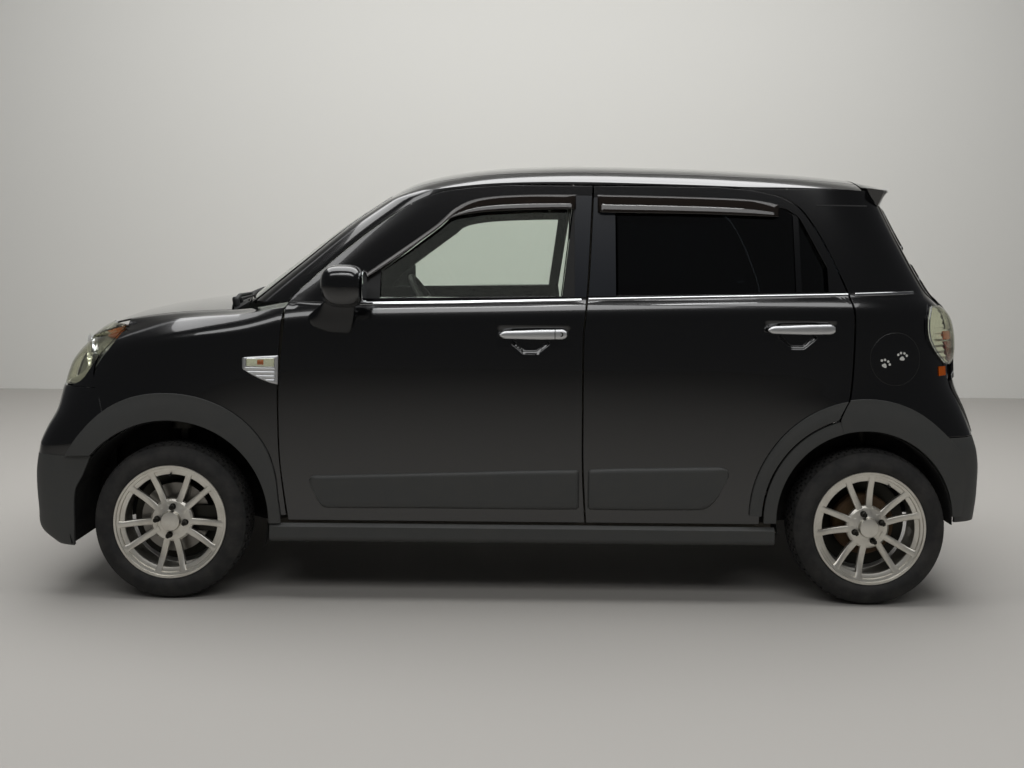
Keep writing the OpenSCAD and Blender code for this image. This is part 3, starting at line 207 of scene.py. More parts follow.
# Each finish is named for the real material. Its note says what its making gives the eye.
finishes = {
    # Sprayed enamel under a baked clear coat: deep black, one sharp reflection
    "clearCoatedEnamel": dict(color="#040405", rough=0.18, coat=1.0, coatRough=0.02),
    # Moulded in a grained tool and left unpainted: dull, the highlight broken up
    "grainedPolypropylene": dict(color="#3b3c3b", rough=0.58, grain=0.25, grainSize=1.4, dust=0.2),
    # Moulded in a finer tool: a weak, soft shine
    "mouldedBlackPlastic": dict(color="#101112", rough=0.48, grain=0.12, grainSize=1.2),
    # Moulded in a polished tool: a sharp but dark reflection
    "glossBlackAcrylic": dict(color="#0a0b0d", rough=0.2, ior=1.49),
    # Felt pressed over plastic, full of road dust: almost no shine
    "pressedFeltLiner": dict(color="#0a0a0a", rough=0.92, grain=0.3, grainSize=6.0, dust=0.3),
    # Extruded strip: matt, a slight bloom
    "extrudedRubber": dict(color="#141414", rough=0.72, grain=0.2, grainSize=2.0),
    # Cured in a mould and worn by the road: matt, brownish dust in the hollows
    "vulcanisedTyreRubber": dict(color="#1b1b1b", rough=0.8, grain=0.25, grainSize=2.2, dust=0.4),
    # Cold-rolled strip, polished: a bright thin line of light
    "brightRolledSteel": dict(color="#d9dadb", rough=0.1, metal=1.0),
    # Plated, then brushed dull: a wide soft highlight
    "satinPlatedPlastic": dict(color="#d0d1d2", rough=0.4, metal=1.0),
    # Cast, then sprayed silver under lacquer, browned by brake dust
    "lacqueredCastAlloy": dict(color="#e2dfd6", rough=0.42, metal=1.0, coat=0.4, coatRough=0.12, tarnish=0.22),
    # The same wheel's inside, never washed: brown and uneven
    "tarnishedCastAlloy": dict(color="#8d8578", rough=0.45, metal=1.0, tarnish=1.0),
    # Straight from the sand mould: rough, grey, no mirror
    "sandCastAlloy": dict(color="#77756f", rough=0.6, metal=1.0, grain=0.5, grainSize=2.5),
    # Phosphated steel: dark with a faint sheen
    "blackenedSteel": dict(color="#33322f", rough=0.45, metal=1.0),
    # Turned iron, wiped by the pads: a grey ring with a fine sheen
    "turnedBrakeIron": dict(color="#85827d", rough=0.36, metal=1.0),
    # Bare steel left in the wet: brown, broken, hardly any metal shine
    "weatheredMildSteel": dict(color="#54402f", rough=0.75, metal=0.4, grain=0.5, grainSize=3.0, tarnish=0.6),
    # Float glass tinted green in the melt
    "greenFloatGlass": dict(color="#eff6f0", rough=0.0, glass=1.0, ior=1.52),
    # Rear glass tinted nearly black: mostly a dark mirror
    "privacyFloatGlass": dict(color="#22262a", rough=0.0, glass=1.0, ior=1.52),
    # Glass silvered behind: a true mirror
    "silveredMirrorGlass": dict(color="#e3e6e8", rough=0.01, metal=1.0),
    # Bent acrylic sheet, smoked brown: see-through, glossy
    "smokedCastAcrylic": dict(color="#2b241f", rough=0.03, glass=0.55, ior=1.49),
    # Clear lamp cover moulded in one piece, slightly yellowed
    "clearMouldedPolycarbonate": dict(color="#eeeedd", rough=0.02, glass=1.0, ior=1.58),
    # Coloured lens optics moulded in
    "redMouldedAcrylic": dict(color="#a00d10", rough=0.08, glass=0.35, ior=1.49),
    "amberMouldedAcrylic": dict(color="#d9660c", rough=0.12, glass=0.3, ior=1.49),
    "frostedMouldedAcrylic": dict(color="#c9c9c6", rough=0.25, glass=0.25, ior=1.49),
    # Lamp box behind the lens: grey, half dull
    "mouldedLampHousing": dict(color="#8a8b88", rough=0.42),
    # Aluminium laid on plastic in a vacuum: a bright warped mirror
    "vacuumSilveredPlastic": dict(color="#dfe2e4", rough=0.12, metal=1.0),
    # Woven cloth over foam: no shine, a fine diagonal thread
    "wovenPolyester": dict(color="#45403b", rough=0.95, weave=1.0),
    # Slush-moulded skin with a leather grain
    "grainedCabinPlastic": dict(color="#25221f", rough=0.66, grain=0.25, grainSize=1.5),
    # Pillar trim moulded in a light grained plastic
    "mouldedPillarTrim": dict(color="#6f6a60", rough=0.7, grain=0.15, grainSize=1.5),
    # Needled fleece glued to board: pale and quite matt
    "needledHeadliner": dict(color="#8b857a", rough=0.9, grain=0.2, grainSize=1.5),
    # Cut from white film: flat and slightly glossy
    "cutVinyl": dict(color="#d8d8d2", rough=0.5),
    # Black film laid on the door frame: a dull blue-grey reflection
    "mattSashFilm": dict(color="#12161d", rough=0.34),
}


def makeMaterial(name, color, rough, metal=0.0, coat=0.0, coatRough=0.03, grain=0.0, grainSize=2.0, glass=0.0,
                 ior=1.5, tarnish=0.0, dust=0.0, weave=0.0):
    material = bpy.data.materials.new(name)
    material.use_nodes = True
    tree = material.node_tree
    shader = tree.nodes["Principled BSDF"]
    shader.inputs["Base Color"].default_value = linear(color)
    shader.inputs["Roughness"].default_value = rough
    shader.inputs["Metallic"].default_value = metal
    shader.inputs["Coat Weight"].default_value = coat
    shader.inputs["Coat Roughness"].default_value = coatRough
    shader.inputs["Transmission Weight"].default_value = glass
    if not metal:
        shader.inputs["IOR"].default_value = ior
    place = node(tree, "TexCoord").outputs["Object"]
    height, relief, depth = None, 0.0, 0.0004
    if grain:
        height = node(tree, "TexNoise", links={"Vector": place}, Scale=1000 / grainSize, Detail=3.0)
        relief = grain
    if weave:
        height = node(tree, "TexWave", settings={"bands_direction": "DIAGONAL"}, links={"Vector": place}, Scale=180.0,
                      Distortion=3.0, Detail=2.0)
        relief, depth = 0.4 * weave, 0.0006
    if height:
        bump = node(tree, "Bump", links={"Height": height.outputs["Fac"]}, Strength=relief, Distance=depth)
        tree.links.new(bump.outputs["Normal"], shader.inputs["Normal"])
    if tarnish or dust:
        patches = node(tree, "TexNoise", links={"Vector": place}, Scale=14.0, Detail=6.0, Roughness=0.65)
        ramp = node(tree, "ValToRGB", links={"Fac": patches.outputs["Fac"]})
        clean, stained = ramp.color_ramp.elements
        clean.position, stained.position = 0.42, 0.72
        clean.color = linear(color)
        stain = linear("#6b5636" if tarnish else "#4a4743")
        stained.color = [mix(a, b, tarnish or dust) for a, b in zip(linear(color), stain)]
        tree.links.new(ramp.outputs["Color"], shader.inputs["Base Color"])
    return material


materials = {name: makeMaterial(name, **settings) for name, settings in finishes.items()}
print("materials made,", len(materials))

# Shape helpers

def finishMesh(bm, name, body, material, replaces=(), sharp=32):
    # Turns a bmesh into an object that rides a body.
    mesh = bpy.data.meshes.new(name)
    bm.to_mesh(mesh)
    bm.free()
    made = bpy.data.objects.new(name, mesh)
    bpy.context.scene.collection.objects.link(made)
    mesh.materials.append(materials[material])
    mesh.shade_smooth()
    mesh.set_sharp_from_angle(angle=math.radians(sharp))
    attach(made, body)
    if replaces:
        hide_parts(*replaces)
    return made


def gridMesh(nu, nv, place, closed=False):
    # A grid whose vertices go where place(u, v) says, in millimetres.
    bm = bmesh.new()
    bmesh.ops.create_grid(bm, x_segments=nu, y_segments=nv, size=1)
    for vert in bm.verts:
        vert.co = Vector(place((vert.co.x + 1) / 2, (vert.co.y + 1) / 2)) * mm
    if closed:
        bmesh.ops.remove_doubles(bm, verts=bm.verts[:], dist=0.00002)
    return bm


def faceOut(bm, hub=(0, 0, 600), stretch=0.75):
    # Turns every face away from the middle of the car.
    total = 0
    for face in bm.faces:
        centre = face.calc_center_median()
        inner = Vector((centre.x * stretch, hub[1] * mm, hub[2] * mm))
        total += face.normal.dot(centre - inner) * face.calc_area()
    if total < 0:
        bmesh.ops.reverse_faces(bm, faces=bm.faces[:])


def panel(name, body, nu, nv, place, material, thick=6, edge=1.3, replaces=(), keep=None, closed=False, hub=(0, 0, 600)):
    # A pressed sheet with rounded edges. It grows inwards from the surface that place gives.
    bm = gridMesh(nu, nv, place, closed)
    if keep:
        gone = [f for f in bm.faces if not keep(f.calc_center_median() / mm)]
        bmesh.ops.delete(bm, geom=gone, context="FACES")
    bm.normal_update()
    faceOut(bm, hub)
    made = finishMesh(bm, name, body, material, replaces, 40)
    solid = made.modifiers.new("thickness", "SOLIDIFY")
    solid.thickness = thick * mm
    solid.offset = -1
    if edge:
        rounding = made.modifiers.new("edges", "BEVEL")
        rounding.width = edge * mm
        rounding.segments = 2
        rounding.limit_method = "ANGLE"
        rounding.angle_limit = math.radians(50)
        rounding.harden_normals = True
    return made


def loft(name, body, nu, nv, place, material, sharp=35, replaces=()):
    # A closed skin: u goes round, v goes along, and both ends are capped.
    bm = gridMesh(nu, nv, place, closed=True)
    bmesh.ops.holes_fill(bm, edges=[e for e in bm.edges if e.is_boundary], sides=0)
    bmesh.ops.recalc_face_normals(bm, faces=bm.faces[:])
    return finishMesh(bm, name, body, material, replaces, sharp)


def lathe(bm, profile, steps, spot, side):
    # Spins (radius, outwards) points about the wheel axis.
    verts = [bm.verts.new((r * mm, 0, 0)) for r, out in profile]
    for vert, (r, out) in zip(verts, profile):
        vert.co = Vector((r, side * out, 0)) * mm
    edges = [bm.edges.new(pair) for pair in zip(verts, verts[1:])]
    bmesh.ops.spin(bm, geom=verts + edges, cent=(0, 0, 0), axis=(0, 1, 0), angle=math.tau, steps=steps,
                   use_merge=True)
    bmesh.ops.remove_doubles(bm, verts=bm.verts[:], dist=0.00001)
    bmesh.ops.recalc_face_normals(bm, faces=bm.faces[:])


def resample(points, n):
    # n + 1 points evenly spaced along a polyline.
    lengths = [0]
    for a, b in zip(points, points[1:]):
        lengths.append(lengths[-1] + math.dist(a, b))
    result = []
    for k in range(n + 1):
        want = lengths[-1] * k / n
        i = 0
        while i < len(points) - 2 and lengths[i + 1] < want:
            i += 1
        t = (want - lengths[i]) / max(1e-9, lengths[i + 1] - lengths[i])
        result.append([mix(p, q, t) for p, q in zip(points[i], points[i + 1])])
    return result


def rounded(points, radius, n=5):
    # The same closed outline with its corners rounded.
    result = []
    for i, p in enumerate(points):
        a, b = points[i - 1], points[(i + 1) % len(points)]
        da, db = math.dist(a, p), math.dist(b, p)
        r = min(radius, da * 0.45, db * 0.45)
        start = [p[k] + (a[k] - p[k]) * r / da for k in (0, 1)]
        end = [p[k] + (b[k] - p[k]) * r / db for k in (0, 1)]
        for k in range(n + 1):
            t = k / n
            result.append([(1 - t)**2 * start[j] + 2 * t * (1 - t) * p[j] + t * t * end[j] for j in (0, 1)])
    return result


def ring(name, body, side, inner, outer, material, nv=6, lift=0, replaces=(), thick=6):
    # A frame on the side of the car between two outlines in the XZ plane, matched point by point.
    n = len(inner)

    def place(u, v):
        k = round(u * n) % n
        x, z = mix(inner[k][0], outer[k][0], v), mix(inner[k][1], outer[k][1], v)
        return [x, side * (sideY(x, z) + lift), z]

    return panel(name, body, n, nv, place, material, thick=thick, replaces=replaces, closed=True)


def ribbon(name, body, side, points, height, material, lift=3, tuck=4, n=80):
    # A moulding on the side of the car that follows a line in the XZ plane.
    path = resample(points, n)

    def place(u, v):
        x, z = path[round(v * n)]
        turn = u * math.tau
        up = math.copysign(abs(math.sin(turn))**0.5, math.sin(turn)) * height / 2
        away = math.copysign(abs(math.cos(turn))**0.8, math.cos(turn))
        away = away * lift if away > 0 else away * tuck
        return [x, side * (sideY(x, z + up) + away), z + up]

    return loft(name, body, 16, n, place, material, sharp=60)


def smoothPath(stations, a, b, n):
    # Points on one of the height tables, as (x, z), from height a to height b.
    return [[along(stations, mix(a, b, k / n)), mix(a, b, k / n)] for k in range(n + 1)]


def turned(name, bodyName, profile, material, spot, aim, steps=48, sharp=35):
    # A turned piece: (radius, along) points spun about an axis that points at aim.
    bm = bmesh.new()
    lathe(bm, profile, steps, spot, 1)
    bmesh.ops.rotate(bm, verts=bm.verts[:], cent=(0, 0, 0),
                     matrix=Vector((0, 1, 0)).rotation_difference(Vector(aim)).to_matrix())
    bmesh.ops.translate(bm, verts=bm.verts[:], vec=Vector(spot) * mm)
    return finishMesh(bm, name, bodyName, material, (), sharp)


def tube(name, bodyName, path, radii, material, sides=12, n=40):
    # A rod along a path of points, with a radius at each of them.
    points = resample([list(p) + [r] for p, r in zip(path, radii)], n)

    def place(u, v):
        k = min(n - 1, max(0, round(v * n)))
        a, b = Vector(points[k][:3]), Vector(points[k + 1][:3])
        run = (b - a).normalized()
        across = run.cross(Vector((0, 0, 1))).normalized()
        up = across.cross(run)
        spot = Vector(points[round(v * n)][:3])
        r = points[round(v * n)][3]
        return spot + across * r * math.cos(u * math.tau) + up * r * math.sin(u * math.tau)

    return loft(name, bodyName, sides, n, place, material, sharp=50)


sides = {"left": -1, "right": 1}
doors = {
    "frontWindow": [(-575, 1062), (-545, 1115), (-405, 1215), (-263, 1318), (-200, 1375), (-120, 1408), (40, 1422),
                    (226, 1424), (222, 1380), (186, 1076)],
    "rearWindow": [(371, 1079), (374, 1424), (900, 1412), (990, 1396), (1034, 1366), (1126, 1185), (1127, 1097)],
    "rearVisible": [(373, 1079), (375, 1420), (900, 1410), (985, 1394), (1028, 1366), (1122, 1187), (1122, 1097)],
    "waistHeight": 1048,
    "frameDepth": 26,
    "skinDepth": 10,
    "bowlDepth": 15,
    "frontBowl": (72, 876),
    "rearBowl": (1010, 904),
}


def shutX(table, z, gap):
    return along(lines[table], z) + gap * car["shutGap"] / 2


def soft(share):
    share = clamp01(share)
    return share * share * (3 - 2 * share)


def pullRecess(dx, dz):
    # Depth of the door behind the pull: a shallow flange, and a bowl for the fingers below it.
    half = mix(28, 70, clamp01(dz / 35))
    bowl = min((half - abs(dx)) / 15, (dz + 5) / 13, (84 - dz) / 14)
    flange = min((129 - abs(dx - 11)) / 9, (dz - 31) / 8, (92 - dz) / 8)
    return max(doors["bowlDepth"] * soft(bowl), 3.2 * soft(flange))


def doorSkin(name, body, side, front, rear, bowl, replaces):
    # The lower half of a door, from its bottom edge to the waist.
    low, high = car["doorBottom"], doors["waistHeight"]

    def place(u, v):
        z = mix(low, high, v)
        x = mix(shutX(front, z, 1), shutX(rear, z, -1), u)
        sink = pullRecess(x - bowl[0], z - bowl[1])
        return [x, side * (sideY(x, z) - sink), z]

    return panel(name, body, 140, 100, place, "clearCoatedEnamel", thick=doors["skinDepth"], replaces=replaces)


def doorFrame(name, body, side, front, rear, window, corner):
    # The window frame above the waist, as a band between the window and the shut lines.
    z0, z1 = doors["waistHeight"] + 0.4, car["doorTop"]
    frontEdge = [[shutX(front, mix(z0, z1, k / 40), 1), mix(z0, z1, k / 40)] for k in range(41)]
    rearEdge = [[shutX(rear, mix(z1, z0, k / 40), -1), mix(z1, z0, k / 40)] for k in range(41)]
    inner = [list(p) for p in window]
    # corner: where the window turns, and how far round the rear edge its top reaches
    low, high, back, foot, turn = corner
    parts = [(inner[low:high + 1], frontEdge), (inner[high:back + 1], [frontEdge[-1]] + rearEdge[:turn + 1]),
             (inner[back:foot + 1], rearEdge[turn:]), ([inner[foot], inner[low]], [rearEdge[-1], frontEdge[0]])]
    pairs = []
    for near, far in parts:
        n = 36
        pairs += list(zip(resample(near, n)[:-1], resample(far, n)[:-1]))
    return ring(name, body, side, [p[0] for p in pairs], [p[1] for p in pairs], "clearCoatedEnamel", nv=5,
                thick=doors["frameDepth"])


def windowPane(name, body, side, outline, material, sink, replaces):
    # Glass with the curve of the body side, set in from it.
    zs = [p[1] for p in outline]
    low, high = min(zs), max(zs)

    def span(z):
        crossings = []
        for (x0, z0), (x1, z1) in zip(outline, outline[1:] + outline[:1]):
            if (z0 - z) * (z1 - z) <= 0 and z0 != z1:
                crossings.append(x0 + (x1 - x0) * (z - z0) / (z1 - z0))
        return min(crossings) - 7, max(crossings) + 7

    def place(u, v):
        z = mix(low + 0.5, high - 0.5, v)
        a, b = span(z)
        x = mix(a, b, u)
        return [x, side * (sideY(x, z) - sink), mix(low - 8, high + 6, v)]

    return panel(name, body, 24, 24, place, material, thick=4, edge=0, replaces=replaces)


for sideName, side in sides.items():
    frontBody, rearBody = "front_door_" + sideName, "rear_door_" + sideName
    doorSkin("frontDoorSkin." + sideName, frontBody, side, "frontShut", "middleShut",
             doors["frontBowl"], [frontBody])
    doorSkin("rearDoorSkin." + sideName, rearBody, side, "middleShut", "rearShut",
             doors["rearBowl"], [rearBody])
    doorFrame("frontDoorFrame." + sideName, frontBody, side, "frontShut", "middleShut", doors["frontWindow"],
              (0, 5, 7, 9, 0))
    doorFrame("rearDoorFrame." + sideName, rearBody, side, "middleShut", "rearShut", doors["rearWindow"],
              (0, 1, 3, 6, 4))
    windowPane("frontDoorGlass." + sideName, frontBody, side, doors["frontWindow"], "greenFloatGlass", 12,
               ["front_door_glass_" + sideName])
    windowPane("rearDoorGlass." + sideName, rearBody, side, doors["rearWindow"], "privacyFloatGlass", 10,
               ["rear_door_glass_" + sideName])
print("doors made")

# Body sides, roof and pillars

body = {
    "rearArch": (1250, 302, 309),
    "frontArch": (-1195, 274, 352),
    "quarterBottom": 300,
    "quarterTop": 1468,
    "roofShare": 0.87,
    "roofFront": 5,
    "roofRear": 1283,
}


def archClear(arch, extra):
    # Keeps what lies outside a wheel arch.
    cx, cz, r = arch
    return lambda c: math.hypot(c.x - cx, c.z - cz) > r + extra if c.z > cz else abs(c.x - cx) > r + extra


def roofTop(x):
    return min(1474, rimZ(x) - 5)


def quarterPanel(name, side):
    def place(u, v):
        guess = mix(body["quarterBottom"], body["quarterTop"], v)
        b = turnAtX("tail", shutX("rearShut", guess, 1), guess)
        a = turnAtY("tail", along(lines["gateEdge"], guess) + car["shutGap"], guess)
        turn = mix(b, a, u**0.8)
        x, y, z = hoop("tail", turn, guess)
        return [x, -side * y, z]

    outside = archClear(body["rearArch"], 22)
    made = panel(name, "body", 72, 84, place, "clearCoatedEnamel", thick=8, replaces=["side_frame_left", "side_frame_right"],
                 keep=lambda c: outside(c) and not (c.z < 592 and c.x > 1400))
    return made


def screenTop(y):
    return 1446 - 22 * (y / 530)**4


def screenEdge(z):
    # Point on the side edge of the windscreen.
    y = 0.87 * section(-600, z)
    return hoop("screen", turnAtY("screen", y, z), z)


def pillarStrip(name, side):
    # Windscreen pillar and roof edge in one strip, from the door shut line to the glass or the roof.
    stations = []
    for k in range(41):
        z = mix(1046, 1424, k / 40)
        outer = [shutX("frontShut", z, -1), 0, z]
        outer[1] = -sideY(outer[0], z)
        stations.append((outer, screenEdge(z), None))
    start = stations[-1]
    firstX = start[0][0]
    for k in range(1, 91):
        x = mix(firstX, 1283, k / 90)
        shutZ = 1478
        for z in range(1424, 1478, 2):
            if along(lines["frontShut"], z) - 3 > x:
                shutZ = z
                break
        z = min(shutZ, rimZ(x) - 4)
        outer = [x, -sideY(x, z), z]
        innerX = mix(start[1][0], 1283, (k / 90)**1.0)
        y = -rimY(innerX) * body["roofShare"]
        stations.append((outer, [innerX, y, roofZ(innerX, y)], x))

    def place(u, v):
        outer, inner, x = stations[round(v * (len(stations) - 1))]
        if x is None:
            z = outer[2]
            a, b = turnAtX("screen", outer[0], z), turnAtY("screen", 0.87 * section(-600, z), z)
            p = hoop("screen", mix(a, b, u), z)
        else:
            rim = [x, -rimY(x), rimZ(x)]
            if u < 0.25:
                p = [mix(a, b, u / 0.25) for a, b in zip(outer, rim)]
            else:
                t = (u - 0.25) / 0.75
                px = mix(x, inner[0], t)
                y = -rimY(px) * mix(1, body["roofShare"], t)
                p = [px, y, roofZ(px, y)]
        return [p[0], -side * p[1], p[2]]

    return panel(name, "body", 16, len(stations) - 1, place, "clearCoatedEnamel", thick=6)


def roofSkin():
    def place(u, v):
        w = mix(-1, 1, u)
        y0 = abs(w) * 520
        z = screenTop(y0)
        front = hoop("screen", turnAtY("screen", y0, z), z)[0] + body["roofFront"]
        x = mix(front, body["roofRear"], v)
        y = w * (rimY(x) * body["roofShare"] - 5)
        return [x, y, roofZ(x, y)]

    return panel("roofSkin", "body", 48, 72, place, "clearCoatedEnamel", thick=8, replaces=["roof_panel"])


def windscreenGlass():
    def place(u, v):
        w = mix(-1, 1, u)
        edge = 0.87 * section(-600, mix(1040, 1440, v)) - 1
        y = abs(w * edge)
        z = mix(1040, screenTop(y) - 1, v)
        x, py, z = hoop("screen", turnAtY("screen", y, z), z, 1)
        return [x, math.copysign(-py, w), z]

    return panel("windscreenGlass", "body", 48, 24, place, "greenFloatGlass", thick=4, edge=0, replaces=["windscreen"])


for sideName, side in sides.items():
    quarterPanel("quarterPanel." + sideName, side)
    pillarStrip("pillarStrip." + sideName, side)
roofSkin()
windscreenGlass()
print("sides and roof made")

# Front end

front = {
    "wingTurn": 0.8,
    "bonnetSag": 20,
    "bumperSplit": 502,
    "bumperTop": 736,
    "lampTop": 950,
    "grilleHalf": 424,
    "lowerRear": [(180, -1528), (240, -1526), (378, -1523), (433, -1496), (505, -1467)],
    "bumperRear": [(502, -1489), (540, -1455), (560, -1433), (580, -1408), (600, -1412), (660, -1434), (718, -1452),
                   (736, -1458)],
    "intake": (330, 300, 448),
    "slot": (372, 786, 836),
}


def evenTurns(zone, z, first, last, n):
    # n + 1 turns between two turns, evenly spaced along the outline itself.
    power = squares(zone, z)[1] / 2
    middle = 0 if zone == "tail" else 180

    def spread(turn):
        share = (turn - middle) / 90
        return math.copysign(abs(share)**(1 / power), share)

    a, b = spread(first), spread(last)
    fine = []
    for k in range(161):
        share = mix(a, b, k / 160)
        turn = middle + 90 * math.copysign(abs(share)**power, share)
        fine.append([turn] + hoop(zone, turn, z)[:2])
    lengths = [0]
    for p, q in zip(fine, fine[1:]):
        lengths.append(lengths[-1] + math.dist(p[1:], q[1:]))
    turns, i = [], 0
    for k in range(n + 1):
        want = lengths[-1] * k / n
        while i < 159 and lengths[i + 1] < want:
            i += 1
        share = clamp01((want - lengths[i]) / max(1e-9, lengths[i + 1] - lengths[i]))
        turns.append(mix(fine[i][0], fine[i + 1][0], share))
    return turns


def bonnetSide(x):
    return mix(520, 600, clamp01((x + 1500) / 500))


def wingPanel(name, side):
    def place(u, v):
        share = front["wingTurn"]
        up, over = min(1, v / share), clamp01((v - share) / (1 - share))
        look = mix(300, 960, up)
        x = mix(along(lines["wingNose"], look), shutX("frontShut", look, -1), u)
        if over == 0:
            z = mix(300, belt(x), up)
            return [x, side * sideY(x, z), z]
        edge = sideY(x, belt(x))
        y = mix(edge, bonnetSide(x) + car["shutGap"], over)
        return [x, side * y, mix(belt(x), bonnetZ(x, y), over * (2 - over))]

    outside = archClear(body["frontArch"], 22)
    return panel(name, "body", 48, 60, place, "clearCoatedEnamel", thick=7, replaces=["front_wings"],
                 keep=lambda c: outside(c) and not (c.z < 545 and c.x < -1190))


def bonnetPanel():
    def place(u, v):
        w = mix(-1, 1, u)
        x = mix(-1528 + 78 * w * w, -1092 + 84 * w * w, v)
        y = w * bonnetSide(x)
        return [x, y, bonnetZ(x, y) - front["bonnetSag"] * clamp01((-1430 - x) / 100)**2]

    return panel("bonnetPanel", "bonnet", 48, 30, place, "clearCoatedEnamel", thick=7, replaces=["bonnet"])


def wrap(name, bodyName, zone, z0, z1, turnA, turnB, material, nu, nv, lift=0, thick=8, replaces=(), keep=None,
         side=0, edge=1.3, shape=None, relief=None):
    # A band of the wrapped outline between two turns that change with height.
    rows = {}

    def place(u, v):
        z = mix(z0, z1, v)
        if v not in rows:
            rows[v] = evenTurns(zone, z, turnA(z), turnB(z), nu)
        turn = rows[v][round(u * nu)]
        out = lift + (shape(u, v) if shape else 0) + (relief(hoop(zone, turn, z)[1], z) if relief else 0)
        x, y, z = hoop(zone, turn, z, -out)
        return [x, -side * y if side else y, z]

    return panel(name, bodyName, nu, nv, place, material, thick=thick, replaces=replaces, keep=keep, edge=edge)


def lowerTurn(z):
    return turnAtX("nose", along(front["lowerRear"], z), z)


def bumperTurn(z):
    return turnAtX("nose", along(front["bumperRear"], z), z)


def across(zone, y, z, lift=0):
    # Point on the front or rear face at a place across it and a height.
    x = hoop(zone, turnAtY(zone, abs(y), z), z, -lift)[0]
    return [x, y, z]


def faceRing(name, bodyName, zone, inner, outer, material, nv, thick=8, lift=0, depth=None, replaces=(),
             edge=1.3):
    # A frame on the front or rear face between two closed outlines in the YZ plane, matched point by point.
    n = len(inner)

    def place(u, v):
        k = round(u * n) % n
        y, z = mix(inner[k][0], outer[k][0], v), mix(inner[k][1], outer[k][1], v)
        return across(zone, y, z, lift + (depth(y, z) if depth else 0))

    return panel(name, bodyName, n, nv, place, material, thick=thick, edge=edge, replaces=replaces, closed=True)


def boxOutline(half, low, high, radius, n=120, top=None):
    # An even outline of a rounded box; top gives a narrower upper half width.
    corners = [(-half, low), (half, low), (top or half, high), (-(top or half), high)]
    soft = rounded(corners, radius)
    return resample(soft + [soft[0]], n)[:-1]


for sideName, side in sides.items():
    wingPanel("wingPanel." + sideName, side)
bonnetPanel()
wrap("frontBumperSkin", "body", "nose", front["bumperSplit"], front["bumperTop"], bumperTurn,
     lambda z: 360 - bumperTurn(z), "clearCoatedEnamel", 150, 24, thick=10, replaces=["front_bumper"])
half, low, high = front["intake"]


def intakeRecess(y, z):
    # Sinks the skin behind the lower grille: a wide opening that narrows upwards.
    wide = half - 0.25 * (z - low)
    inside = min(clamp01((wide - abs(y)) / 26), clamp01((z - low) / 14), clamp01((high - z) / 14))
    return -44 * inside * inside * (3 - 2 * inside)


wrap("frontLowerSkin", "body", "nose", 182, front["bumperSplit"] - 1, lowerTurn, lambda z: 360 - lowerTurn(z),
     "grainedPolypropylene", 200, 50, thick=10, replaces=["front_valance"],
     relief=intakeRecess)
for sideName, side in sides.items():
    near, far = across("nose", 470, 350)[0], across("nose", 570, 350)[0]
    fogSpot = (across("nose", 520, 350)[0] + 1, side * 520, 350)
    fogAxis = (-1, side * (far - near) / 100, 0)
    turned("fogLamp." + sideName, "body", [(0, 4), (20, 3.5), (34, 1.5), (38, -3), (38, -10), (0, -10)],
           "clearMouldedPolycarbonate", fogSpot, fogAxis)
    turned("fogRing." + sideName, "body", [(38, -6), (39, 1.5), (45, 3), (52, 0.5), (54, -6), (38, -6)],
           "mouldedBlackPlastic", fogSpot, fogAxis)
wrap("intakeMesh", "body", "nose", low + 6, high - 8, lambda z: turnAtY("nose", half - 30, z),
     lambda z: 360 - turnAtY("nose", half - 30, z), "mouldedBlackPlastic", 60, 72, thick=3, lift=-30, edge=0,
     shape=lambda u, v: 14 * abs(math.sin(6 * math.pi * v))**2)
half, low, high = front["slot"]
faceRing("frontGrilleSkin", "body", "nose", boxOutline(half, low, high, 16), boxOutline(418, 742, 921, 8),
         "clearCoatedEnamel", 8, replaces=["front_grille"])
wrap("grilleBack", "body", "nose", low - 8, high + 8, lambda z: turnAtY("nose", half + 8, z),
     lambda z: 360 - turnAtY("nose", half + 8, z), "mouldedBlackPlastic", 60, 30, thick=3, lift=-30, edge=0,
     shape=lambda u, v: 10 * abs(math.sin(3 * math.pi * v)))
wrap("grilleBar", "body", "nose", 803, 819, lambda z: turnAtY("nose", half - 6, z),
     lambda z: 360 - turnAtY("nose", half - 6, z), "brightRolledSteel", 60, 6, thick=6, lift=-7,
     shape=lambda u, v: 4 * math.sin(math.pi * v))
for sideName, side in sides.items():
    wrap("noseBacking." + sideName, "body", "nose", 506, 850, lambda z: turnAtX("nose", -1372, z),
         lambda z: turnAtX("nose", -1505, z), "mouldedBlackPlastic", 14, 20, thick=3, lift=-15, side=-side, edge=0,
         keep=archClear(body["frontArch"], 24))
print("front made")

# Rear end

rear = {
    "bumperLow": 290,
    "bumperTop": 588,
    "gateLow": 596,
    "gateHigh": 1445,
    "glassLow": 1118,
    "glassHigh": 1420,
}


def gateTurn(z):
    return turnAtY("tail", along(lines["gateEdge"], z), z)


def bumperEdge(z):
    # The rear bumper starts on the wheel arch and, above it, under the flare.
    cx, cz, r = body["rearArch"]
    return turnAtX("tail", cx + math.sqrt(max(0, (r + 17)**2 - max(0, z - cz)**2)), z)


wrap("rearBumperSkin", "body", "tail", rear["bumperLow"], rear["bumperTop"], lambda z: -bumperEdge(z), bumperEdge,
     "grainedPolypropylene", 170, 34, thick=10, replaces=["rear_bumper"])


def gateOutline(n):
    # The gate's own outline, as (y, z), evenly spaced from its lower left corner.
    high = [mix(rear["gateLow"], rear["gateHigh"], k / 40) for k in range(41)]
    right = [[along(lines["gateEdge"], z), z] for z in high]
    left = [[-y, z] for y, z in reversed(right)]
    return resample(right + left + [right[0]], n)[:-1]


def plateRecess(y, z):
    # The bare recess for a number plate.
    inside = min(clamp01((178 - abs(y)) / 14), clamp01((z - 636) / 14), clamp01((806 - z) / 14))
    return -13 * inside * inside * (3 - 2 * inside)


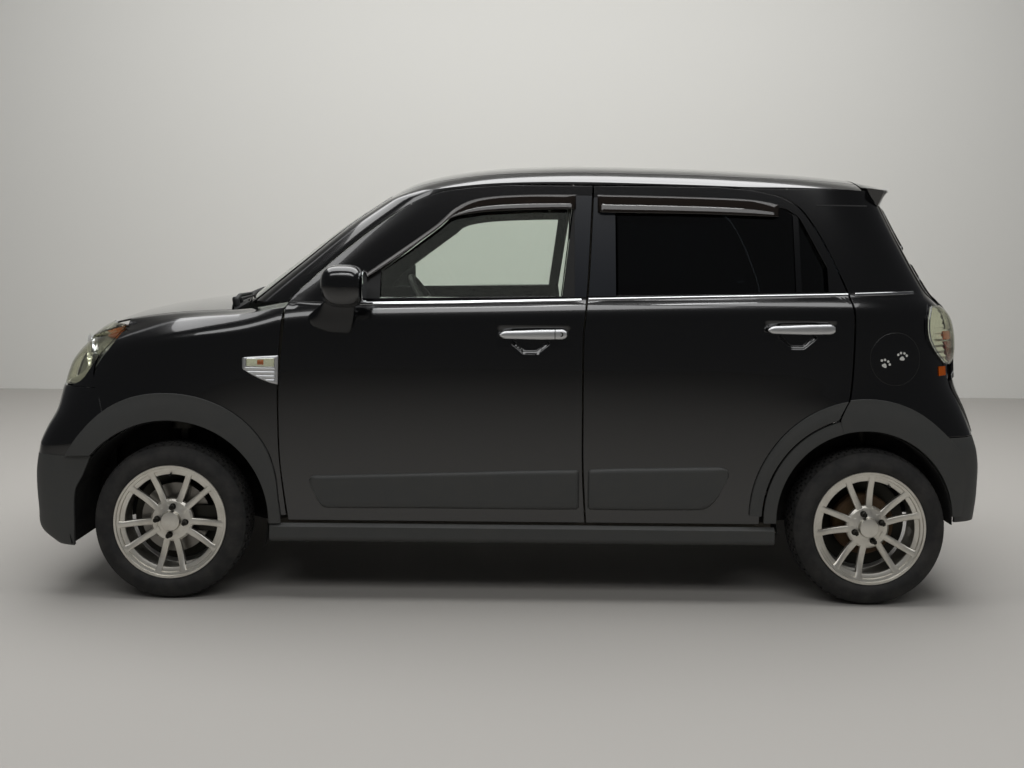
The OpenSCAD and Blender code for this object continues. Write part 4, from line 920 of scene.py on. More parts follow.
def startAt(points, angle):
    # The same closed outline started at the point seen at this angle from its middle.
    cy = sum(p[0] for p in points) / len(points)
    cz = sum(p[1] for p in points) / len(points)
    k = min(range(len(points)), key=lambda i: abs((math.degrees(math.atan2(points[i][1] - cz, points[i][0] - cy))
                                                   - angle + 180) % 360 - 180))
    return points[k:] + points[:k]


gateHole = startAt(boxOutline(492, 1124, 1412, 46, 240, 452), -45)
gateRim = startAt(gateOutline(240), -45)
faceRing("gateSkin", "tailgate", "tail", gateHole, gateRim, "clearCoatedEnamel", 40, replaces=["tailgate"],
         depth=plateRecess)
wrap("gateGlass", "tailgate", "tail", 1106, 1432, lambda z: -turnAtY("tail", mix(508, 468, (z - 1106) / 326), z),
     lambda z: turnAtY("tail", mix(508, 468, (z - 1106) / 326), z), "privacyFloatGlass", 48, 24, lift=-9, thick=4,
     replaces=["tailgate_glass"], edge=0)
faceRing("gateSeal", "tailgate", "tail", boxOutline(482, 1134, 1402, 40, 240, 442), boxOutline(494, 1122, 1414, 47, 240,
         454), "extrudedRubber", 3, thick=6, lift=-6, edge=0)
wrap("plateGarnish", "tailgate", "tail", 812, 846, lambda z: -turnAtY("tail", 250, z), lambda z: turnAtY("tail", 250, z),
     "satinPlatedPlastic", 40, 8, lift=2, thick=4, shape=lambda u, v: 9 * math.sin(math.pi * v)**0.6)
print("rear made")

# Wheels

wheel = {
    "tyreRadius": 273,
    "rimRadius": 195,
    "halfWidth": 78,
    "rimHalf": 68,
    "hubFace": 30,
    "spokeHalfAngle": 14,
    "spokeWidth": 20,
    "pairs": {"front": 55, "rear": 28.5},
    "nuts": {"front": 84, "rear": 110},
    "boltCircle": 100,
    "treadBlocks": 58,
    "treadDepth": 7,
}


def latheObject(name, bodyName, profile, material, spot, side, steps=96, sharp=35, replaces=()):
    bm = bmesh.new()
    lathe(bm, profile, steps, spot, side)
    bmesh.ops.translate(bm, verts=bm.verts[:], vec=Vector(spot) * mm)
    return finishMesh(bm, name, bodyName, material, replaces, sharp)


def tyre(name, bodyName, spot, side, node):
    r, w = wheel["tyreRadius"], wheel["halfWidth"]
    base = r - wheel["treadDepth"]
    profile = [(178, 55), (183, 56.5), (190, 60), (197, 63), (203, 69), (215, 75.5), (226, 76), (238, 73.2),
               (248, 69), (257, 63.5), (base - 1, 56), (base + 0.6, 30), (base + 1, 0)]
    profile = profile + [(a, -b) for a, b in reversed(profile[:-1])] + [(178, -55)]
    bm = bmesh.new()
    lathe(bm, profile + [profile[0]], 96, spot, side)
    # Tread blocks in five rows, every second row shifted by half a block
    count = wheel["treadBlocks"]
    rows = [(-45, 16, 0.0, 0.12), (-27, 15, 0.5, -0.15), (-9, 15, 0.0, 0.1), (9, 15, 0.5, -0.1), (27, 15, 0.0, 0.15),
            (45, 16, 0.5, -0.12)]
    for across, width, phase, lean in rows:
        shoulder = abs(across) > 40
        for k in range(count):
            angle = math.tau * (k + phase) / count
            high = r - (4.2 if shoulder else 0.3)
            length = math.tau * r / count * 0.76
            block = bmesh.ops.create_cube(bm, size=1)["verts"]
            tilt = Matrix.Rotation(math.copysign(0.4, across * -side) if shoulder else 0, 4, "X")
            turn = Matrix.Rotation(angle, 4, "Y")
            skew = Matrix.Rotation(lean, 4, "Z")
            size = Matrix.Diagonal((length * mm, width * mm, 11 * mm, 1))
            move = Matrix.Translation((0, side * across * mm, (high - 5.5) * mm))
            bmesh.ops.transform(bm, matrix=turn @ move @ tilt @ skew @ size, verts=block)
    for k in range(count):
        # Shoulder lugs that run over onto the sidewall
        for s in (-1, 1):
            block = bmesh.ops.create_cube(bm, size=1)["verts"]
            size = Matrix.Diagonal((16 * mm, 9 * mm, 15 * mm, 1))
            lean = Matrix.Rotation(s * side * 0.6, 4, "X")
            move = Matrix.Translation((0, side * s * 59.5 * mm, 254.5 * mm))
            bmesh.ops.transform(bm, matrix=Matrix.Rotation(math.tau * k / count, 4, "Y") @ move @ lean @ size,
                                verts=block)
    bmesh.ops.translate(bm, verts=bm.verts[:], vec=Vector(spot) * mm)
    made = finishMesh(bm, name, bodyName, "vulcanisedTyreRubber", [node], 30)
    return made


def spokeShape(side, angle):
    # One spoke: a rib with a raised middle line, dished towards the hub.
    def place(u, v):
        r = mix(50, 186, v)
        half = mix(wheel["spokeWidth"] * 0.6, wheel["spokeWidth"] * 0.52, v) + 6 * clamp01((v - 0.84) / 0.16)**2
        half += 4 * clamp01((0.14 - v) / 0.14)
        out = mix(46, 58, v**1.5) - 9 * math.sin(math.pi * clamp01(v * 1.05))
        turn = u * math.tau
        across = half * math.copysign(abs(math.cos(turn))**0.6, math.cos(turn))
        deep = math.copysign(abs(math.sin(turn))**0.7, math.sin(turn))
        out += 5 * deep if deep > 0 else 19 * deep
        return [r * math.cos(angle) - across * math.sin(angle), side * out, r * math.sin(angle)
                + across * math.cos(angle)]
    return gridMesh(14, 14, place, closed=True)


def rim(name, bodyName, spot, side, place, node):
    bm = bmesh.new()
    outer = [(178, -52), (194, -58), (196.5, -67), (192, -68), (176, -58), (171, -40), (170, 10), (169, 34),
             (166, 40), (163, 46), (164, 51), (170, 54), (178, 55.5), (180, 61), (188, 63.5), (190, 68), (197, 68.5),
             (198.5, 66), (194, 60), (178, 52), (178, -52)]
    lathe(bm, outer, 120, spot, side)
    for k in range(5):
        for s in (-1, 1):
            angle = math.radians(wheel["pairs"][place] + 72 * k + s * wheel["spokeHalfAngle"])
            # Seen from outside on the right the wheel is mirrored
            spoke = spokeShape(side, angle)
            holes = [e for e in spoke.edges if e.is_boundary]
            bmesh.ops.holes_fill(spoke, edges=holes, sides=0)
            mesh = bpy.data.meshes.new("spoke")
            spoke.to_mesh(mesh)
            spoke.free()
            bm.from_mesh(mesh)
            bpy.data.meshes.remove(mesh)
    hub = [(0, 20), (66, 20), (76, 30), (75, 42), (68, 48), (42, 50), (36, 53), (34.5, 61), (32, 65), (22, 67),
           (0, 67.5)]
    lathe(bm, hub, 96, spot, side)
    bmesh.ops.recalc_face_normals(bm, faces=bm.faces[:])
    bmesh.ops.translate(bm, verts=bm.verts[:], vec=Vector(spot) * mm)
    made = finishMesh(bm, name, bodyName, "lacqueredCastAlloy", [node], 32)
    # Nuts and valve
    nuts = bmesh.new()
    for k in range(4):
        angle = math.radians(wheel["nuts"][place] + 90 * k)
        r = wheel["boltCircle"] / 2
        for radius, depth, out, segments in ((11.5, 6, 51, 24), (9.5, 22, 60, 6), (7, 26, 62, 24)):
            bolt = bmesh.ops.create_cone(nuts, cap_ends=True, segments=segments, radius1=radius * mm,
                                         radius2=radius * mm * 0.92, depth=depth * mm)["verts"]
            turn = Matrix.Rotation(math.pi / 2 * -side, 4, "X")
            bmesh.ops.transform(nuts, matrix=Matrix.Translation(Vector(spot) * mm + Vector(
                (r * math.cos(angle), side * out, r * math.sin(angle))) * mm) @ turn, verts=bolt)
    finishMesh(nuts, name + ".nuts", bodyName, "blackenedSteel", sharp=30)
    valve = bmesh.new()
    angle = math.radians(wheel["pairs"][place] + 36)
    made = bmesh.ops.create_cone(valve, cap_ends=True, segments=16, radius1=0.004, radius2=0.0032, depth=0.034)
    bmesh.ops.transform(valve, matrix=Matrix.Translation(Vector(spot) * mm + Vector(
        (163 * math.cos(angle), side * 50, 163 * math.sin(angle))) * mm) @ Matrix.Rotation(
            math.pi / 2 * -side, 4, "X"), verts=made["verts"])
    finishMesh(valve, name + ".valve", bodyName, "extrudedRubber")


def brake(name, bodyName, spot, side, place):
    shield = [(0, -46), (60, -46), (150, -44), (156, -40), (156, -38), (150, -41), (0, -43)]
    latheObject(name + ".shield", bodyName, shield, "blackenedSteel", spot, side, 72, 30)
    if place == "front":
        disc = [(56, -26), (122, -26), (122, -6), (60, -6), (58, 20), (56, 22), (0, 22)]
        latheObject(name + ".disc", bodyName, disc, "turnedBrakeIron", spot, side, 72, 30)
    else:
        drum = [(40, -40), (104, -40), (108, -34), (108, -4), (102, 4), (66, 8), (60, 20), (0, 22)]
        latheObject(name + ".drum", bodyName, drum, "weatheredMildSteel", spot, side, 72, 30)


for sideName, side in sides.items():
    for place, x in (("front", car["frontAxle"]), ("rear", car["rearAxle"])):
        spot = (x, side * car["wheelY"], car["axleHeight"])
        bodyName = "wheel_" + place + "_" + sideName
        rim(place + "Rim." + sideName, bodyName, spot, side, place, place + "_wheel_" + sideName)
        tyre(place + "Tyre." + sideName, bodyName, spot, side, place + "_tyre_" + sideName)
        brake(place + "Brake." + sideName, bodyName, spot, side, place)
print("wheels made")
# Window trim: rain visors, sash tapes, mirror sails, division bars

trim = {
    "frontVisorLow": [(-560, 1092), (-544, 1111), (-405, 1206), (-263, 1311), (-221, 1347), (-156, 1365), (-49, 1377),
                      (165, 1386), (272, 1387)],
    "frontVisorTop": [(-560, 1114), (-545, 1127), (-405, 1227), (-263, 1331), (-200, 1389), (-120, 1422), (40, 1437),
                      (272, 1440)],
    "rearVisorLow": [(310, 1376), (700, 1373), (962, 1366)],
    "rearVisorTop": [(310, 1440), (600, 1436), (850, 1428), (930, 1417), (962, 1408)],
    "visorStandOff": 15,
    "frontVisorSpan": (-560, 232),
    "rearVisorSpan": (310, 962),
    "barSpan": (1012, 1032),
    "beltHeight": 11,
}


def band(name, bodyName, side, low, high, x0, x1, material, out, nu, nv, thick=2, edge=0.6, replaces=(), slot=None):
    # A strip on the side of the car between two curves of height. out gives its distance from the side.
    def place(u, v):
        x = mix(x0, x1, u)
        z = mix(along(low, x), along(high, x), v)
        return [x, side * (sideY(x, z) + out(u, v)), z]

    return panel(name, bodyName, nu, nv, place, material, thick=thick, edge=edge, replaces=replaces)


def sash(name, bodyName, side, low, high, xFront, xRear, material, out=0.8):
    # A strip between two upright edges given at each height.
    def place(u, v):
        z = mix(low, high, v)
        x = mix(xFront(z), xRear(z), u)
        return [x, side * (sideY(x, z) + out), z]

    return panel(name, bodyName, 6, 40, place, material, thick=0.8, edge=0.3)


def visorOut(u, v):
    ends = min(1, u / 0.03, (1 - u) / 0.03)
    return 1.5 + (trim["visorStandOff"] - 1.5) * (1 - v * v) * ends**0.5


for sideName, side in sides.items():
    frontBody, rearBody = "front_door_" + sideName, "rear_door_" + sideName
    band("frontVisor." + sideName, frontBody, side, trim["frontVisorLow"], trim["frontVisorTop"],
         *trim["frontVisorSpan"], "smokedCastAcrylic", visorOut, 90, 10, edge=0)
    band("rearVisor." + sideName, rearBody, side, trim["rearVisorLow"], trim["rearVisorTop"],
         *trim["rearVisorSpan"], "smokedCastAcrylic", visorOut, 70, 10, edge=0)
    sash("frontRunChannel." + sideName, frontBody, side, 1074, 1424, lambda z: mix(185, 222, (z - 1076) / 304),
         lambda z: 229, "extrudedRubber", 0.4)
    sash("frontSashTape." + sideName, frontBody, side, 1074, 1436, lambda z: 227, lambda z: shutX("middleShut", z, -1) - 1,
         "mattSashFilm")
    sash("rearSashTape." + sideName, rearBody, side, 1078, 1430, lambda z: shutX("middleShut", z, 1) + 1, lambda z: 373,
         "mattSashFilm")
    sash("windowBar." + sideName, rearBody, side, 1098, 1374, lambda z: trim["barSpan"][0], lambda z: trim["barSpan"][1],
         "glossBlackAcrylic", -5)
    band("mirrorSail." + sideName, frontBody, side, [(-578, 1060), (-462, 1062)], [(-578, 1092), (-462, 1172)],
         -578, -462, "mouldedBlackPlastic", lambda u, v: 1.5 - 5 * v, 16, 14)
    ribbon("quarterBeltStrip." + sideName, "body", side, [(1222, 1092), (1320, 1095), (1452, 1099)], 11, "brightRolledSteel",
           n=30)

# Door pulls: satin silver bars over a bowl in the door skin

pulls = {
    "front": {"from": -36, "to": 197, "height": 944, "cap": 155},
    "rear": {"from": 901, "to": 1135, "height": 970, "cap": None},
    "standOff": 23,
}


def doorPull(name, bodyName, side, spec):
    length = spec["to"] - spec["from"]
    split = spec["cap"] or spec["to"]

    def bar(x0, x1):
        def place(u, v):
            x = mix(x0, x1, v)
            t = (x - spec["from"]) / length
            half = mix(13, 17.5, clamp01(t / 0.62)) * (1 - max(0, (0.1 - t) / 0.1)**2.4 * 0.75)
            half *= 1 - 0.45 * max(0, (t - 0.93) / 0.07)**2
            turn = u * math.tau
            up = math.copysign(abs(math.sin(turn))**0.75, math.sin(turn)) * half
            away = math.copysign(abs(math.cos(turn))**0.8, math.cos(turn))
            bow = 6 * math.sin(math.pi * clamp01(t))
            off = pulls["standOff"] - 8 + bow + (9 if away > 0 else 7) * away
            z = spec["height"] + up + mix(-3, 1, t)
            return [x, side * (sideY(x, spec["height"]) + off), z]
        return place

    loft(name + ".grip", bodyName, 24, 44, bar(spec["from"], split), "satinPlatedPlastic", sharp=50)
    if spec["cap"]:
        loft(name + ".cap", bodyName, 24, 16, bar(split + 2.5, spec["to"]), "satinPlatedPlastic", sharp=50)
        spot = (spec["to"] - 20, side * (sideY(spec["to"], spec["height"]) + 22), spec["height"] + 1)
        turned(name + ".lock", bodyName, [(0, 3.2), (3, 3.2), (7.4, 3.6), (8.6, 2.5), (9, -4), (0, -4)], "blackenedSteel", spot,
               (0, side, 0))
    for x in (spec["from"] + 24, spec["to"] - 22):
        y = sideY(x, spec["height"])
        turned(name + ".post%d" % x, bodyName, [(0, 14), (8, 14), (9, 8), (11, 1), (11, -6), (0, -6)], "glossBlackAcrylic",
               (x, side * y, spec["height"]), (0, side, 0), steps=24)


for sideName, side in sides.items():
    doorPull("frontPull." + sideName, "front_door_" + sideName, side, pulls["front"])
    doorPull("rearPull." + sideName, "rear_door_" + sideName, side, pulls["rear"])

# Door mirrors: gloss shell, foot on the door, silvered glass

mirror = {
    "middle": (-571, 822, 1109),
    "half": (75, 77.5, 74),
    "square": 3.0,
    "face": -500,
}


def mirrorShell(name, bodyName, side, node):
    cx, cy, cz = mirror["middle"]
    hx, hy, hz = mirror["half"]
    power = 2 / mirror["square"]

    def place(u, v):
        a = math.pi * (v - 0.5)
        b = u * math.tau
        ring = max(0, math.cos(a))**power
        x = cx + hx * ring * math.copysign(abs(math.cos(b))**power, math.cos(b))
        z = cz + hz * ring * math.copysign(abs(math.sin(b))**power, math.sin(b))
        y = cy + hy * math.copysign(abs(math.sin(a))**power, math.sin(a))
        low = clamp01((cz - z) / hz)
        x = x + 10 * low if x < cx else x
        return [min(x, mirror["face"]), side * (y - 6 * low), z]

    loft(name + ".shell", bodyName, 48, 32, place, "clearCoatedEnamel", sharp=38, replaces=[node])

    def glass(u, v):
        a, b = u * math.tau, v
        y = cy - 2 + 62 * b * math.copysign(abs(math.cos(a))**0.6, math.cos(a))
        z = cz + 56 * b * math.copysign(abs(math.sin(a))**0.6, math.sin(a))
        return [mirror["face"] + 1.2 + 1.5 * (1 - b), side * y, z]

    panel(name + ".glass", bodyName, 40, 8, glass, "silveredMirrorGlass", thick=0.8, edge=0, closed=True)
    foot = [(-714, 1001), (-700, 966), (-640, 943), (-560, 938), (-545, 985), (-552, 1032), (-640, 1034)]
    seat = [(-640, 1062), (-636, 1050), (-600, 1044), (-548, 1044), (-536, 1056), (-540, 1078), (-620, 1080)]
    near = resample(rounded(foot, 14) + [rounded(foot, 14)[0]], 48)
    far = resample(rounded(seat, 8) + [rounded(seat, 8)[0]], 48)

    def bracket(u, v):
        k = round(u * 48) % 48
        t = v * v * (3 - 2 * v)
        x, z = mix(near[k][0], far[k][0], t), mix(near[k][1], far[k][1], t)
        return [x, side * mix(sideY(x, z) + 1, 770, v), z]

    loft(name + ".foot", bodyName, 48, 14, bracket, "glossBlackAcrylic", sharp=50)


for sideName, side in sides.items():
    mirrorShell("mirror." + sideName, "front_door_" + sideName, side, "mirror_" + sideName)
print("door trim made")

# Lamps

lamps = {
    "headLow": 742,
    "headHigh": 957,
    "headInner": 434,
    "headRear": [(736, -1574), (758, -1531), (797, -1500), (845, -1468), (901, -1425), (961, -1394)],
    "headSink": 30,
    "bowl": [(0, -34), (20, -32), (40, -22), (54, -6), (60, 8), (63, 8), (57, -8), (42, -26), (0, -38)],
    "tailFront": [(842, 1564), (888, 1518), (938, 1489), (1002, 1486), (1053, 1504)],
    "fog": (-520, 340, 38),
}


def headEdge(z):
    return turnAtX("nose", along(lamps["headRear"], z), z)


def headInner(z):
    return turnAtY("nose", lamps["headInner"], z)


for sideName, side in sides.items():
    low, high = lamps["headLow"], lamps["headHigh"]
    wrap("lampSurround." + sideName, "body", "nose", 737.5, 848, lambda z: turnAtX("nose", along(lines["wingNose"], z) - 4, z),
         lambda z: turnAtX("nose", min(along(lines["wingNose"], z) - 5, along(lamps["headRear"], z) + 2), z),
         "clearCoatedEnamel", 20, 24, thick=6, side=-side, edge=0.6)
    wrap("headLens." + sideName, "body", "nose", low, high, headEdge, headInner, "clearMouldedPolycarbonate", 48, 40, thick=3,
         lift=-1, replaces=["headlamps"], side=-side, edge=0.8,
         shape=lambda u, v: 7 * math.sin(math.pi * u) * math.sin(math.pi * v))
    wrap("headBowl." + sideName, "body", "nose", low + 3, high - 4, headEdge, headInner, "mouldedLampHousing", 24, 24, thick=2,
         lift=-46, side=-side, edge=0, shape=lambda u, v: 34 * max(abs(2 * u - 1), abs(2 * v - 1))**6)
    for k, (y, z, size) in enumerate([(605, 846, 1.0), (520, 858, 1.12)]):
        x = hoop("nose", turnAtY("nose", y, z), z, 34)[0]
        turned("headReflector%d." % k + sideName, "body", [(r * size * 0.8, a * 0.8) for r, a in lamps["bowl"]],
               "vacuumSilveredPlastic", (x, side * y, z), (-0.86, side * 0.5, 0.05))
        turned("headBulb%d." % k + sideName, "body", [(0, 6), (5, 5), (7, 0), (7, -16), (0, -16)], "frostedMouldedAcrylic",
               (x, side * y, z), (-0.86, side * 0.5, 0.05), steps=24)
    wrap("headTurnLens." + sideName, "body", "nose", 905, 938, lambda z: headEdge(z) + 2.5, lambda z: headEdge(z) + 16,
         "amberMouldedAcrylic", 14, 8, thick=3, lift=-30, side=-side, edge=0.8)


def tailEdge(z):
    return turnAtX("tail", along(lamps["tailFront"], z), z)


def tailInner(z):
    return gateTurn(z) + 0.4 if z < 1000 else gateTurn(z) + 0.4 + 0.04 * (z - 1000)


for sideName, side in sides.items():
    bulge = lambda u, v: 9 * (1 - (2 * u - 1)**4) * (1 - (2 * v - 1)**4)
    wrap("tailLens." + sideName, "body", "tail", 842, 1053, tailInner, tailEdge, "clearMouldedPolycarbonate", 40, 40, lift=7, thick=3,
         replaces=["tail_lamps"], side=side, edge=1, shape=bulge)
    wrap("tailTray." + sideName, "body", "tail", 846, 1049, tailInner, tailEdge, "vacuumSilveredPlastic", 30, 30, lift=1.2,
         thick=1, side=side, edge=0, shape=lambda u, v: 1.4 * math.sin(60 * v) * math.sin(math.pi * u))
    for k, (a, b, finish) in enumerate([(852, 925, "redMouldedAcrylic"), (931, 962, "amberMouldedAcrylic"), (968, 1040, "frostedMouldedAcrylic")]):
        wrap("tailCell%d." % k + sideName, "body", "tail", a, b, lambda z: mix(tailInner(z), tailEdge(z), 0.08),
             lambda z: mix(tailInner(z), tailEdge(z), 0.62 if k != 2 else 0.5), finish, 18, 12, lift=4.5, thick=2,
             side=side, edge=0.6)
    wrap("tailRim." + sideName, "body", "tail", 838, 1057, lambda z: tailEdge(z) - 0.2, lambda z: tailEdge(z) + 1.6,
         "glossBlackAcrylic", 4, 40, lift=2.5, thick=2.5, side=side, edge=0.6)
    wrap("tailBead." + sideName, "body", "tail", 843, 1052, lambda z: turnAtX("tail", along(lamps["tailFront"], z) + 3, z),
         lambda z: turnAtX("tail", along(lamps["tailFront"], z) - 1, z), "brightRolledSteel", 3, 40, lift=8, thick=2,
         side=side, edge=0.5)
    wrap("sideMarker." + sideName, "body", "tail", 803, 836, lambda z: turnAtX("tail", 1566, z),
         lambda z: turnAtX("tail", 1533, z), "amberMouldedAcrylic", 10, 10, lift=3, thick=3, side=side, edge=1)

# Side turn lamp on its silver garnish, ribs below, lens above

garnish = {
    "top": [(-940, 849), (-931, 853), (-880, 857), (-811, 861)],
    "low": [(-940, 820), (-934, 810), (-888, 784), (-842, 765), (-811, 758)],
    "span": (-939, -811),
    "ribPitch": 14,
    "lens": (-924, -824, 823, 849),
}


def garnishOut(u, v):
    # A soft rim, and level ribs below the lens.
    x = mix(*garnish["span"], u)
    z = mix(along(garnish["low"], x), along(garnish["top"], x), v)
    out = 0.4 + 5.5 * clamp01(min(u, 1 - u, v, 1 - v) / 0.06)**0.5
    if z < 820 and 0.08 < u < 0.9 and v > 0.08:
        out -= 2.4 * abs(math.sin(math.pi * (z - 758) / garnish["ribPitch"]))**2
    return out


for sideName, side in sides.items():
    x0, x1, low, high = garnish["lens"]
    band("garnish." + sideName, "body", side, garnish["low"], garnish["top"], *garnish["span"], "satinPlatedPlastic",
         garnishOut, 50, 80, thick=1, edge=0, replaces=["wing_garnishes"], slot="steel")
    band("turnReflector." + sideName, "body", side, [(x0, low), (x1, low - 2)], [(x0, high), (x1, high + 3)], x0, x1,
         "vacuumSilveredPlastic", lambda u, v: 6.2, 24, 10, thick=1, edge=0)
    band("turnLamp." + sideName, "body", side, [(x0, low), (x1, low - 2)], [(x0, high), (x1, high + 3)], x0, x1,
         "clearMouldedPolycarbonate", lambda u, v: 9 + 3.5 * math.sin(math.pi * v) * min(1, u * 8, (1 - u) * 8), 30, 10,
         thick=2)
    band("turnBulb." + sideName, "body", side, [(-884, 829), (-862, 828)], [(-884, 844), (-862, 845)], -884, -862,
         "amberMouldedAcrylic", lambda u, v: 6.5 + 1.6 * math.sin(math.pi * v) * math.sin(math.pi * u), 16, 8, thick=1,
         edge=0)

# Fuel lid on the left quarter, with two small paw stickers

fuelLid = {
    "middle": (1361, 866),
    "radius": 92,
    "paws": [((1322, 851), 18, 0.45), ((1386, 876), 18, 0.1)],
}


def sideDisc(name, middle, radius, material, out, nu=64, nv=8, dish=0.0, thick=1.2):
    def place(u, v):
        a = u * math.tau
        x, z = middle[0] + radius * v * math.cos(a), middle[1] + radius * v * math.sin(a)
        return [x, -(sideY(x, z) + out + dish * (1 - v * v)), z]

    return panel(name, "body", nu, nv, place, material, thick=thick, edge=0.5, closed=True)


made = sideDisc("fuelLid", fuelLid["middle"], fuelLid["radius"], "clearCoatedEnamel", 2.2, 96, 16, 0.6, 2)
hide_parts("fuel_lid")
# A matt black rubber disc under the lid. Its rim beyond the lid is a painted shadow line for the gap round the lid.
sideDisc("fuelLidGapShadow", fuelLid["middle"], fuelLid["radius"] + 2.6, "extrudedRubber", 0.7, 96, 4, 0, 0.5)
for k, (spot, size, lean) in enumerate(fuelLid["paws"]):
    pads = [(0, -0.42, 0.4), (-0.24, -0.52, 0.28), (0.24, -0.52, 0.28)]
    pads += [(1.0 * math.sin(t), 0.78 * math.cos(t) - 0.12, 0.25) for t in (-1.12, -0.38, 0.38, 1.12)]
    for j, (dx, dz, r) in enumerate(pads):
        x = spot[0] + size * (dx * math.cos(lean) + dz * math.sin(lean))
        z = spot[1] + size * (dz * math.cos(lean) - dx * math.sin(lean))
        sideDisc("paw%d.pad%d" % (k, j), (x, z), size * r, "cutVinyl", 3.3, 20, 2, 0, 0.3)

# Spoiler, antenna and wipers

spoiler = {
    "half": 535,
    "low": 1412,
    "tip": 1474,
    "reach": 44,
    "frontX": 1290,
}


def spoilerShape(u, v):
    y = mix(-spoiler["half"], spoiler["half"], v)
    outer = clamp01((abs(y) - 480) / 40)

    def tail(z, lift):
        x, py, pz = hoop("tail", turnAtY("tail", abs(y), z), z, -lift)
        return Vector((x, math.copysign(abs(py), y), z))

    roof = Vector((spoiler["frontX"], y * 0.97, roofZ(spoiler["frontX"], abs(y * 0.97)) + 0.8))
    tipHigh = tail(spoiler["tip"], spoiler["reach"])
    tipHigh.z = 1480 - 10 * (abs(y) / spoiler["half"])**4
    tipLow = tail(spoiler["tip"] - 10, spoiler["reach"] - 2)
    low = tail(mix(1446, spoiler["low"], outer), 1.5)
    corners = [roof, mix(roof, tipHigh, 0.5) + Vector((0, 0, 2)), tipHigh, tipLow, low,
               Vector((max(spoiler["frontX"], low.x - 30), low.y, max(low.z + 12, 1450 - 36 * outer)))]
    path = resample([list(p) for p in corners + [roof]], 36)
    return path[round(u * 36) % 36]


loft("spoilerBlade", "tailgate", 36, 80, spoilerShape, "clearCoatedEnamel", sharp=42, replaces=["tailgate_spoiler"])
for sideName, side in sides.items():
    # A thin matt black rubber strip along the spoiler's lower edge: a painted shadow line for the gap under it.
    ribbon("spoilerGapShadow." + sideName, "body", side, [(1098, 1409), (1200, 1410), (1298, 1410)], 5, "extrudedRubber", lift=0.6,
           tuck=2, n=24)
antennaX = 1130
turned("antennaFoot", "body", [(0, 16), (7, 15), (15, 9), (21, 1), (22, -3), (0, -3)], "mouldedBlackPlastic",
       (antennaX, 0, roofZ(antennaX, 0) + 1), (0, 0, 1))
tube("antennaRod", "body", [(antennaX + 6, 0, roofZ(antennaX, 0) + 14), (antennaX - 12, 0, 1560), (antennaX - 40, 0, 1563),
                           (antennaX - 245, 0, 1571)], [4.5, 4.2, 3.6, 2.6], "mouldedBlackPlastic")

wipers = {
    "pivots": (-470, 60),
    "arm": 300,
    "blade": 460,
}


def glassSpot(y, z, off):
    x, py, pz = hoop("screen", turnAtY("screen", abs(y), z), z, -off)
    return (x, math.copysign(abs(py), y), z)


for k, y in enumerate(wipers["pivots"]):
    base = (-1036 + 0.00003 * y * y, y, 1040)
    tip = glassSpot(y + 250, 1078, 16)
    tube("wiperArm%d" % k, "body", [base, (base[0] + 4, y + 40, 1056), mix(Vector(base), Vector(tip), 0.55), tip],
         [9, 8, 5.5, 4], "mouldedBlackPlastic")
    turned("wiperCap%d" % k, "body", [(0, 14), (8, 13), (12, 8), (13, 0), (13, -24), (0, -24)], "mouldedBlackPlastic", base,
           (-0.2, 0, 1))
    blade = [glassSpot(y + d, 1062 + 26 * (d + 20) / 460, 8) for d in range(-60, 401, 46)]
    tube("wiperBlade%d" % k, "body", blade, [3] + [5.5] * (len(blade) - 2) + [3], "extrudedRubber")
print("lamps and fittings made")

# Cabin: padded seats, and better finishes on what the CAD already shapes

cabin = {
    "seatX": 60,
    "seatY": 340,
    "seatWidth": 470,
    "rearWidth": 960,
    "cushion": 0.42,
}


def cushion(name, middle, half, lean, material, creases, square=0.42, replaces=()):
    # A crowned closed pad. creases are sewn lines at shares of its width.
    tilt = Matrix.Rotation(lean, 4, "Y")

    def place(u, v):
        a, b = math.pi * (v - 0.5), u * math.tau
        rim = max(0, math.cos(a))**square
        p = Vector((half[0] * rim * math.copysign(abs(math.cos(b))**square, math.cos(b)),
                    half[1] * math.copysign(abs(math.sin(a))**square, math.sin(a)),
                    half[2] * rim * math.copysign(abs(math.sin(b))**square, math.sin(b))))
        share = abs(p.y) / half[1]
        pull = sum(math.exp(-((share - c) / 0.02)**2) for c in creases)
        p *= 1 - 0.03 * pull
        p.z += 0.1 * half[2] * clamp01((share - 0.6) / 0.3) if p.z > 0 else 0
        return tilt @ p + Vector(middle)

    made = loft(name, "body", 48, 72, place, material, sharp=60, replaces=replaces)
    return made


for sideName, side in sides.items():
    x, y, w = cabin["seatX"], side * cabin["seatY"], cabin["seatWidth"]
    cushion("seatBase." + sideName, (x - 178, y, 474), (240, w / 2, 62), 0.06, "wovenPolyester", (0.52,),
            replaces=["front_seats"])
    cushion("seatBack." + sideName, (x + 136, y, 778), (48, w / 2 - 14, 262), 0.3, "wovenPolyester", (0.56,))
    cushion("headrest." + sideName, (x + 232, y, 1142), (38, 118, 72), 0.12, "wovenPolyester", (), 0.6)
    for s in (-50, 50):
        tube("headrestPost%d." % s + sideName, "body", [(x + 218, y + s, 1010), (x + 230, y + s, 1090)], [6, 6],
             "brightRolledSteel", n=6)
    tube("seatRail." + sideName, "body", [(x - 380, y - 160, 340), (x + 20, y - 160, 340)], [16, 16], "blackenedSteel", n=8)
cushion("rearSeatBase", (975, 0, 506), (205, 490, 50), 0.04, "wovenPolyester", (0.06, 0.5), replaces=["rear_seat"])
cushion("rearSeatBack", (1262, 0, 752), (50, 480, 262), 0.24, "wovenPolyester", (0.06, 0.5))

